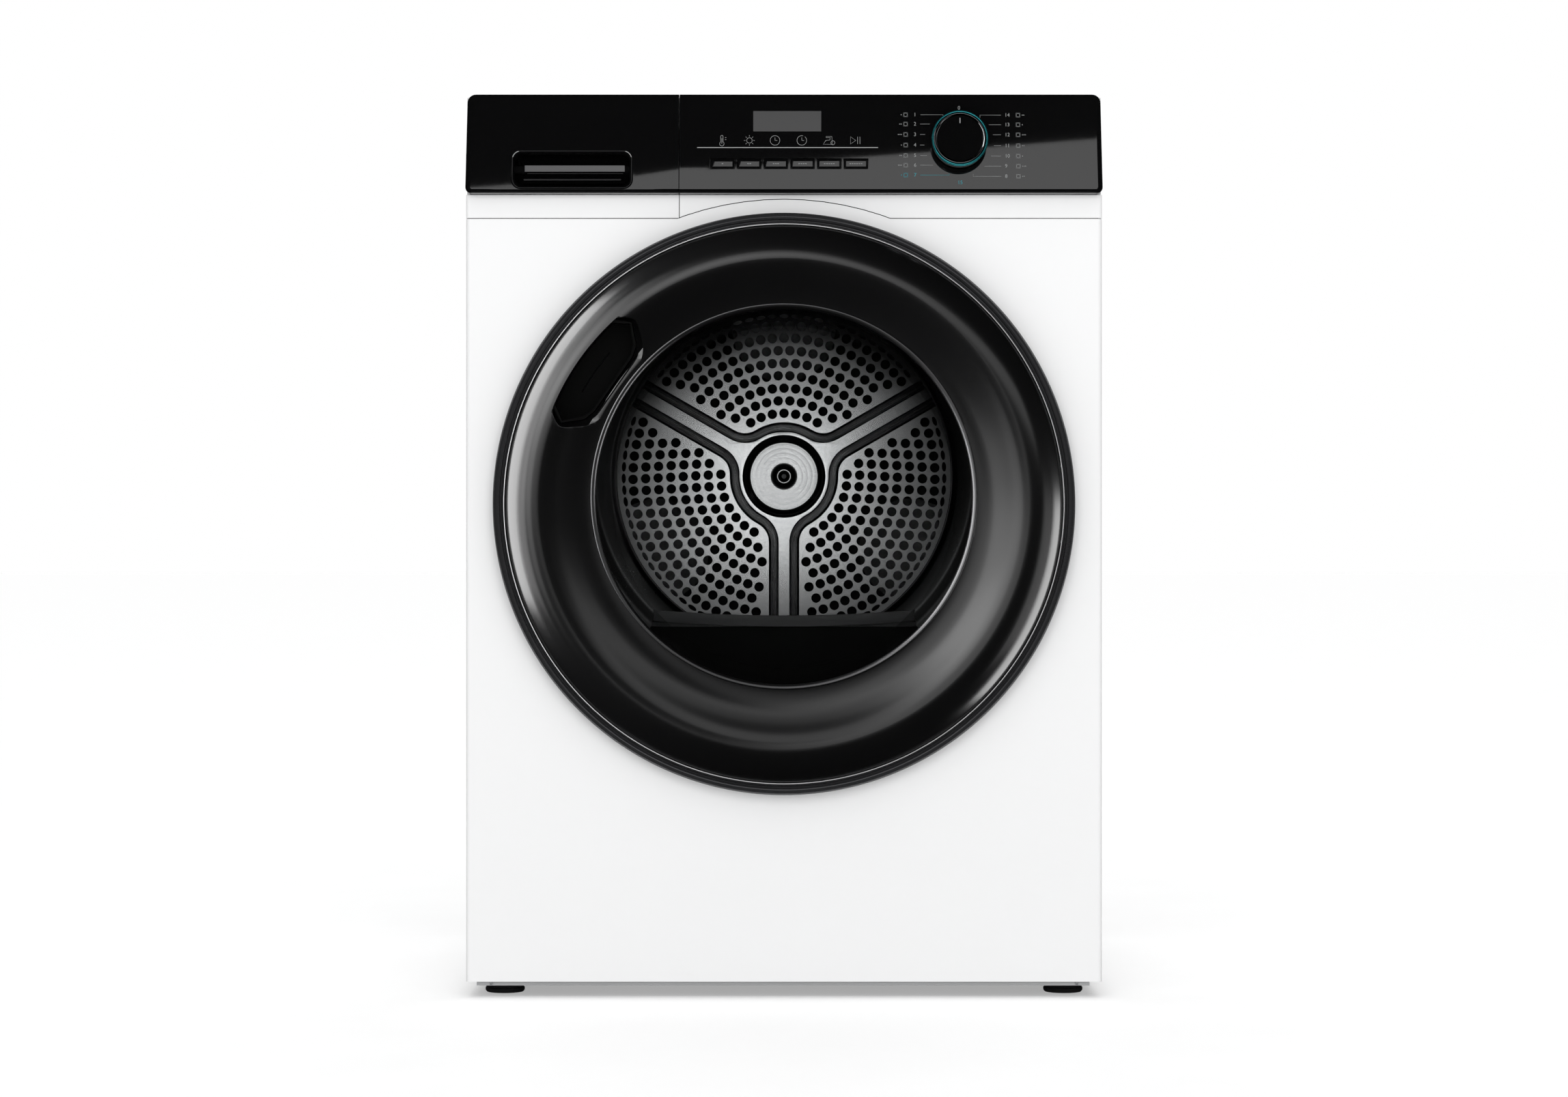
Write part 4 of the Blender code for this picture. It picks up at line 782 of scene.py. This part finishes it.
def sector_border(offset, count=16):
    """The line between the star and a sector whose middle is at 90 degrees, from the right arm's tip past the
    hub to the left arm's tip. A positive offset moves it into the star."""
    half, hub, fillet = ARM_HALF - offset, HUB_R - offset, STAR_FILLET + offset
    # Where a fillet circle touches both the arm's edge and the hub's circle, in the right arm's own axes.
    across = half + fillet
    along = math.sqrt((hub + fillet) ** 2 - across**2)
    centre = Vector((along, across))
    touch_hub = bearing(-along, -across)
    right = [(SECTOR_R + (along - SECTOR_R) * t / count, half) for t in range(count)]
    right += [(centre.x + x, centre.y + z) for x, z in arc(fillet, -90, touch_hub, 8)]
    turned = spun(right, STAR_TURN)
    start = bearing(*turned[-1])
    left = [(-x, z) for x, z in reversed(turned)]
    return turned + arc(hub, start, 180 - start, 12)[1:-1] + left


def hole_places():
    """The holes of a sector, in arcs about the hub: where each one is, and whether it is squeezed."""
    places = []
    rows = [FIRST_ROW_R + ROW_PITCH * i for i in range(FULL_ROWS)] + [SQUEEZED_ROW_R]
    for i, radius in enumerate(rows):
        step = math.degrees(HOLE_PITCH / radius)
        first = 0 if i % 2 == 0 else 0.5
        for k in range(-20, 21):
            turn = (k + first) * step
            clear = radius * math.sin(math.radians(60 - abs(turn)))
            if abs(turn) < 60 and clear > ARM_HALF + HOLE_R + 0.0016:
                places.append((*polar(radius, 90 + turn), i == FULL_ROWS))
    return places


def perforated_sector(turn):
    border = sector_border(-0.0004)
    start, end = bearing(*border[0]), bearing(*border[-1])
    rim = arc(SECTOR_R, end, start, 48)[1:-1]
    outlines = [spun(border + rim, turn)]
    for x, z, squeezed in hole_places():
        hole = arc(HOLE_R + 0.0002, 0, -360, 16)[:-1]
        if squeezed:
            turned = Matrix.Rotation(math.atan2(z, x), 2)
            hole = [tuple(turned @ Vector((u * SQUEEZE, v))) for u, v in hole]
        outlines.append(spun([(x + u, z + v) for u, v in hole], turn))
    return plate(outlines, BACK_Y, SHEET, DRUM, 0.00035)


def star_strip(turn):
    """The pressed border of the star along one sector: a lip, a groove and the edge of the flat."""
    section = [(-0.0006, 0.203), (0.0002, 0.2014), (0.0012, 0.2004), (0.002, 0.2004), (0.0032, 0.2024)]
    section += [(0.0044, 0.2036), (0.0062, 0.2036), (0.0072, 0.2026), (0.0082, 0.1998), (0.009, 0.1991)]
    section += [(0.01, 0.199)]
    verts = []
    for offset, y in section:
        verts += [(x, y, z) for x, z in spun(sector_border(offset), turn)]
    faces = bands(len(section), len(verts) // len(section), closed=False)
    sheet = mesh_of([DRUM @ Vector(v) for v in verts], faces)
    if sheet.polygons[0].normal.y > 0:
        sheet.flip_normals()
    return drawn(sheet, ("SOLIDIFY", {"thickness": 0.0008, "offset": -1.0}))


def make_drum():
    fine("drum_back", joined(*[perforated_sector(turn) for turn in SECTORS]), degrees=15)
    strips = [star_strip(turn) for turn in SECTORS]
    inner = [point for turn in SECTORS for point in spun(sector_border(0.0099), turn)]
    hub_hole = arc(0.044, 0, -360, 64)[:-1]
    strips.append(plate([inner, hub_hole], 0.199, SHEET, DRUM, 0.0001))
    piece("drum_star", joined(*strips), "drum", None, "drum_steel", degrees=50, flat=True)
    hub = [(0.0026, 0.1996), (0.0045, 0.1989), (0.0085, 0.1986), (0.0095, 0.199), (0.0105, 0.1986)]
    for radius in (0.015, 0.02, 0.025, 0.03, 0.0345):
        hub += [(radius, 0.1986), (radius + 0.0003, 0.198605), (radius + 0.0006, 0.1986)]
    hub += [(0.0383, 0.1986), (0.0392, 0.1992), (0.0398, 0.203), (0.0414, 0.2036), (0.0426, 0.203)]
    hub += [(0.0434, 0.1996), (0.0441, 0.199), (0.0441, 0.2002), (0.0434, 0.2046), (0.0396, 0.2046)]
    hub += [(0.0385, 0.2), (0.0026, 0.2)]
    piece("drum_hub", lathe(hub, DRUM, 96), "drum", HUB_SATIN, "drum_steel")
    shaft = [(0, 0.2003), (0.036, 0.2003), (0.0372, 0.2015), (0.0372, 0.2043), (0.0125, 0.2048)]
    shaft += [(0.0125, 0.231), (0.0115, 0.232), (0, 0.232)]
    fine("drum_shaft", lathe(shaft, DRUM, 64))
    rim = [(0.1765, 0.204), (0.1775, 0.2026), (0.18, 0.203), (0.183, 0.2092), (0.2, 0.2098)]
    rim += [(0.21, 0.208), (0.23, 0.208), (0.238, 0.2108), (WALL_R, 0.212), (WALL_R, 0.213)]
    rim += [(0.183, 0.2104), (0.1765, 0.2052)]
    piece("drum_back_rim", lathe(soft(rim, 0.002, 3), DRUM, 192), "drum", RIM_STEEL, "drum_steel")
    outer = [(0.27, -0.1822), (0.2712, -0.184), (0.285, -0.184), (0.2875, -0.1815)]
    for y in (-0.12, -0.06, 0, 0.12, 0.17):
        outer += [(0.2875, y - 0.008), (0.2862, y - 0.004), (0.2862, y + 0.004), (0.2875, y + 0.008)]
    outer += [(0.2875, 0.2165)]
    wall = [(r - 0.001, y) for r, y in reversed(outer[3:])] + [(0.2712, -0.1828)]
    fine("drum_shell", lathe(outer + wall, DRUM, 192), degrees=30)
    for i, turn in enumerate(SECTORS):
        make_lifter(i + 1, 90 + turn)


def make_lifter(number, degrees):
    """A moulded paddle with a rounded crest that runs down to the wall at both ends."""

    def place(radius, across, y):
        x, z = polar(radius, degrees + math.degrees(across / WALL_R))
        return DRUM @ Vector((x, y, z))

    count = LIFTER_PARTS + 1
    crest, foot = [], []
    for k in range(LIFTER_STEPS + 1):
        y = LIFTER_FRONT_Y + LIFTER_LENGTH * k / LIFTER_STEPS
        from_end = min(k, LIFTER_STEPS - k)
        swell = math.sin(math.pi * from_end / LIFTER_STEPS) ** 0.35 if from_end else 0
        for j in range(count):
            side = -1 + 2 * j / LIFTER_PARTS
            height = LIFTER_HEIGHT * swell * (1 - abs(side) ** 2.4) ** 0.9
            crest.append(place(WALL_R - height, LIFTER_HALF * side * (0.75 + 0.25 * swell), y))
            foot.append(place(LIFTER_FOOT_R, LIFTER_HALF * side, y))
    base, faces = len(crest), []
    for a, b, c, d in bands(LIFTER_STEPS + 1, count, closed=False):
        faces += [(a, b, c, d), (base + a, base + d, base + c, base + b)]
    rim = list(range(count)) + [count * k - 1 for k in range(2, LIFTER_STEPS + 2)]
    rim += [base - 1 - j for j in range(1, count)] + [count * k for k in range(LIFTER_STEPS - 1, 0, -1)]
    for a, b in zip(rim, rim[1:] + rim[:1]):
        faces.append((a, b, base + b, base + a))
    fine(f"drum_lifter_{number}", mesh_of(crest + foot, faces), degrees=60)


# -------- base, feet and rear


def screw_head(x, y, z, facing, radius=0.0036):
    """A pan-head screw with a cross recess. facing is the way its head points."""
    turn = Vector((0, -1, 0)).rotation_difference(Vector(facing)).to_matrix().to_4x4()
    place = at(x, y, z) @ turn
    dome = [(0, -0.0018), (radius * 0.5, -0.0017), (radius * 0.85, -0.0012), (radius, -0.0004)]
    dome += [(radius, 0), (0, 0)]
    slot = radius * 0.62
    cross = [block((-slot, -0.004, -0.00045), (slot, -0.0008, 0.00045), 0.0002, 0.0001, place)]
    cross.append(block((-0.00045, -0.004, -slot), (0.00045, -0.0008, slot), 0.0002, 0.0001, place))
    return carved(lathe(dome, place, 24), *cross)


APRON_HALF, APRON_Z, APRON_BOW, APRON_HEIGHT, APRON_PARTS = 0.124, 0.346, 0.0055, 0.0092, 24


def make_filter_apron():
    """The lint filter's bowed front edge, which is seen through the porthole."""
    spots = [-APRON_HALF + 2 * APRON_HALF * i / APRON_PARTS for i in range(APRON_PARTS + 1)]
    bowed = [(x, APRON_Z + APRON_BOW * (x / APRON_HALF) ** 2) for x in spots]
    outline = bowed + [(x, z + APRON_HEIGHT) for x, z in reversed(bowed)]
    strip = plate([outline], -0.1928, 0.003, Matrix(), 0.0008)
    piece("filter_apron", strip, BODY_OF["lint_filter"], FILTER_GREY)


JOINT_Y, JOINT_Z, JOINT_HALF, JOINT_BOW_R, JOINT_LINE = -0.2646, 0.7289, 0.294, 0.2854, 0.00045


def make_seam_shade():
    """Painted shade: dark lines laid in the joints of the white front, where there is only shadow in the gap.
    """
    angle = math.degrees(math.asin((JOINT_Z - DOOR_Z) / JOINT_BOW_R))
    bow = [(x, JOINT_Y, DOOR_Z + up) for x, up in arc(JOINT_BOW_R, 180 - angle, angle, 40)]
    joint = [(-JOINT_HALF, JOINT_Y, JOINT_Z), *bow, (JOINT_HALF, JOINT_Y, JOINT_Z)]
    post = [(SEAM_X, JOINT_Y, JOINT_Z), (SEAM_X, JOINT_Y, FASCIA_BOTTOM)]
    seams = joined(tube(joint, JOINT_LINE), tube(post, JOINT_LINE))
    piece("front_seam_shade", seams, "cabinet", LOOK["rubber"])


THREADS, THREAD_PITCH = 12, 0.0015


def make_base():
    strip = block((-0.2877, -0.263, 0.0107), (0.286, -0.251, 0.0142), 0.0006, 0.0008)
    piece("base_front_strip", strip, "cabinet", BASE_GREY)
    heads = [screw_head(side * 0.274, -0.2632, 0.0124, (0, -1, 0), 0.0016) for side in (-1, 1)]
    piece("base_screws", joined(*heads), "cabinet", None, "zinc_steel")
    for node in ("foot_front_left", "foot_front_right", "foot_rear_left", "foot_rear_right"):
        low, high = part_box(node)
        place = at((low.x + high.x) / 2, (low.y + high.y) / 2, 0) @ Matrix.Rotation(math.pi / 2, 4, "X")
        foot = [(0, 0), (0.0172, 0), (0.0182, 0.001), (0.0186, 0.0022), (0.0186, 0.004), (0.0178, 0.0046)]
        foot += [(0.0178, 0.0052), (0.0186, 0.0058), (0.0186, 0.0078), (0.0164, 0.0098), (0.009, 0.0101)]
        foot += [(0.004, 0.0101)]
        for k in range(THREADS):
            foot += [(0.004, 0.011 + k * THREAD_PITCH), (0.0036, 0.0117 + k * THREAD_PITCH)]
        foot += [(0.004, 0.0295), (0, 0.0298)]
        fine(node, lathe(foot, place, 48), degrees=30)


SCREW_Y, COVER_Y, BEAD = 0.2852, 0.3002, 0.0014


def make_rear():
    """Screws, louvres and pressed beads on the back."""
    places = [(x, z) for x in (-0.288, 0.288) for z in (0.03, 0.22, 0.41, 0.6, 0.8)]
    places += [(x, z) for x in (-0.15, 0.15) for z in (0.022, 0.808)]
    heads = [screw_head(x, SCREW_Y, z, (0, 1, 0)) for x, z in places]
    piece("rear_screws", joined(*heads), "cabinet", None, "zinc_steel")
    beads = []
    for radius in (0.12, 0.165, 0.21):
        points = [(x, COVER_Y, DRUM_Z + z) for x, z in arc(radius, -25, 205, 60)]
        beads.append(tube(points, BEAD, resolution=2))
    for z in (0.08, 0.115, 0.15, 0.185, 0.22):
        beads.append(tube([(0.035, COVER_Y, z), (0.165, COVER_Y, z)], BEAD, resolution=2))
    cover = frame["nodes"]["rear_duct_cover"].data.copy()
    fine("rear_duct_cover", eased(carved(cover, *beads), 0.0004), degrees=40, flat=True)
    louvres = []
    for i in range(9):
        for x in (-0.235, -0.165):
            low = (x - 0.026, 0.285, 0.15 + i * 0.011)
            louvres.append(block(low, (x + 0.026, 0.288, low[2] + 0.004), 0.0018, 0.001, flipped(0.2865)))
    piece("rear_louvres", joined(*louvres), "cabinet", None, "zinc_steel")


def flipped(y):
    """Turns a block that faces the front round to face the rear, about the plane at y."""
    return at(0, y, 0) @ Matrix.Scale(-1, 4, (0, 1, 0)) @ at(0, -y, 0)


# -------- nodes that stay as packed


# Edges beyond these, at the sides and forwards, are at the two front corners.
CORNER_X, CORNER_Y, CORNER_R = 0.2972, -0.2645, 0.003


def round_corners(mesh):
    """Rounds the long upright edges at the two front corners."""
    shape = loaded(mesh)
    bmesh.ops.remove_doubles(shape, verts=shape.verts, dist=1e-6)
    bmesh.ops.dissolve_limit(shape, angle_limit=0.01, verts=shape.verts, edges=shape.edges)
    outer = [e for e in shape.edges if all(abs(v.co.x) > CORNER_X and v.co.y < CORNER_Y for v in e.verts)]
    corners = [e for e in outer if abs(e.verts[0].co.z - e.verts[1].co.z) > 0.01]
    bmesh.ops.bevel(shape, geom=corners, offset=CORNER_R, segments=6, profile=0.5, affect="EDGES")
    return stored(shape, mesh)


def make_white_front():
    for name in ("front_panel", "fascia_white_strip", "tank_front_white"):
        sheet = round_corners(frame["nodes"][name].data.copy())
        fine(name, eased(sheet, 0.00025), degrees=40, flat=True)


def dress_nodes():
    """Gives each node that still shows its finish and soft edges. Its own mesh stays as packed."""
    special = {
        "front_bulkhead": CASING_BLACK,
        "door_handle_cup": CASING_BLACK,
        "rear_bulkhead": DARK_BACK,
        "filter_housing": CASING_BLACK,
        "lint_filter": FILTER_GREY,
    }
    easing = {"worktop_frame": 0.0008, "worktop_board": 0.001}
    for name, node in frame["nodes"].items():
        if node.hide_render:
            continue
        node.data.materials.clear()
        node.data.materials.append(special.get(name, LOOK[SLOT_OF[name]]))
        weld = node.modifiers.new("weld", "WELD")
        weld.merge_threshold = 1e-6
        edge = node.modifiers.new("edges", "BEVEL")
        edge.width, edge.segments, edge.limit_method = easing.get(name, 0.0003), 2, "ANGLE"
        edge.angle_limit = math.radians(50)
        node.data.shade_smooth()
        node.data.set_sharp_from_angle(angle=math.radians(35))
        node.modifiers.new("normals", "WEIGHTED_NORMAL").keep_sharp = True


# -------- camera, light and floor


def lamp(name, place, aim, width, height, power, only, roll=0):
    """A soft area lamp that faces its aim, turned by roll degrees. only names the pieces that it lights."""
    data = bpy.data.lights.new(name, "AREA")
    data.shape, data.size, data.size_y, data.energy = "RECTANGLE", width, height, power
    made = added(name, data)
    towards = (Vector(aim) - Vector(place)).to_track_quat("-Z", "Y")
    turned = towards.to_matrix().to_4x4() @ Matrix.Rotation(math.radians(roll), 4, "Z")
    made.matrix_world = Matrix.Translation(place) @ turned
    made.visible_camera = False
    link_to(made, only)


def link_to(light, names):
    """Limits a lamp to the named pieces."""
    group = bpy.data.collections.new(light.name + "_lit")
    for name in names:
        group.objects.link(bpy.data.objects[name])
    light.light_linking.receiver_collection = group


CAMERA_PLACE, CAMERA_LENS, CAMERA_SENSOR, FLOOR_Z = (0, -3.765, 0.42), 85.9, 36, -0.0005


def make_stage():
    scene = bpy.context.scene
    scene.view_settings.view_transform = "Standard"
    camera = added("camera", bpy.data.cameras.new("camera"))
    camera.location, camera.rotation_euler = CAMERA_PLACE, (math.pi / 2, 0, 0)
    camera.data.lens, camera.data.sensor_width, camera.data.clip_end = CAMERA_LENS, CAMERA_SENSOR, 100
    scene.camera = camera

    make_world(scene)
    shape = bmesh.new()
    bmesh.ops.create_grid(shape, x_segments=2, y_segments=2, size=60)
    mesh = stored(shape)
    mesh.materials.append(finish("pale_floor", (0.93, 0.93, 0.93), 0.7, 0, 40, 1e-5, 0.01))
    floor = added("floor", mesh)
    floor.location = (0, 0, FLOOR_Z)
    floor.visible_glossy = False

    sky = bpy.data.lights.new("floor_light", "SUN")
    sky.energy, sky.angle = 1.6, math.radians(70)
    above = added("floor_light", sky)
    link_to(above, ["floor"])
    above.light_linking.blocker_collection = above.light_linking.receiver_collection

    panel = ["fascia_black_fine", "tank_front_black_fine", "tank_grip_highlight_strip", "display_window_fine"]
    panel += ["dial_skirt", "dial_chrome", "dial_ring_fine"]
    panel += [f"button_{i + 1}_fine" for i in range(6)] + ["panel_icons", "dial_marks", "dial_marks_teal"]
    dish = ["door_dish_fine", "door_painted_edge_highlight", "door_glass_rim"]
    lamp("front_light", (0, -4.5, 1.246), (0, 0, 1.246), 1.9, 1.95, 23, panel, 4.7)
    lamp("crest_light", (0, -0.9, 0.71), (0, 0, 0.71), 1.3, 0.2, 1, dish)
    lamp("ring_light", (0, -4.2, 2.4), (0, 0, 0.5), 4, 1.5, 45, ["door_ring_fine", "door_painted_edge_highlight"])
    lamp("left_wide", (-0.8, -1.95, 0.9), (0.15, -0.29, 0.45), 1.9, 0.9, 8.2, dish)
    glints = dish + ["dial_skirt", "dial_chrome"]
    lamp("left_softbox", (-1.32, -0.56, 0.8), (-0.25, -0.29, 0.55), 0.75, 1.9, 52, glints)
    lamp("left_middle", (-1.1, -1.08, 0.78), (-0.25, -0.29, 0.55), 0.45, 1.6, 8, dish)
    lamp("left_inner", (-0.8, -1.5, 0.8), (-0.25, -0.29, 0.55), 0.4, 1.3, 3, dish)
    lamp("upper_left", (-0.7, -1.42, 1.07), (0.15, -0.29, 0.32), 0.6, 0.6, 1.4, dish)
    lamp("right_softbox", (0.84, -0.39, 0.12), (0.25, -0.29, 0.32), 0.32, 0.78, 7.5, glints)
    lamp("right_middle", (1, -0.93, 0.18), (0.25, -0.29, 0.4), 0.4, 0.7, 1.2, dish)
    drum = ["drum_back_fine", "drum_star", "drum_hub", "drum_back_rim", "door_glass_fine"]
    lamp("drum_light", (-0.02, -3.9, 0.555), (0, 0.2, 0.49), 0.3, 0.3, 0.78, drum)
    wall = ["drum_shell_fine", "door_glass_fine"] + [f"drum_lifter_{i + 1}_fine" for i in range(3)]
    lamp("wall_light", (0.9, -3.2, 0.3), (0, 0, 0.45), 0.5, 0.9, 22, wall)
    white = ["front_panel_fine", "fascia_white_strip_fine", "tank_front_white_fine"]
    lamp("body_light", (0, -4, 1.6), (0, 0, 0.4), 3, 2, 45, white)


def make_world(scene):
    """An even white sky, a little darker to the left and right. Polished faces don't mirror it."""
    world = bpy.data.worlds.new("studio")
    scene.world = world
    world.use_nodes = True
    tree = world.node_tree
    direction = tree.nodes.new("ShaderNodeTexCoord").outputs["Generated"]
    across = new_node(tree, "ShaderNodeSeparateXYZ", Vector=direction).outputs["X"]
    sky = tree.nodes["Background"].inputs
    feed(sky["Strength"], map_range(tree, calculated(tree, "ABSOLUTE", across), 0.25, 0.9, 1.0, 0.08))
    feed(sky["Color"], (1, 1, 1, 1))
    world.cycles_visibility.glossy = False


make_fascia()
make_tank_front()
make_buttons()
make_icons()
make_dial_marks()
make_dial()
make_door()
make_drum()
make_filter_apron()
make_seam_shade()
make_base()
make_rear()
make_white_front()
dress_nodes()
make_stage()
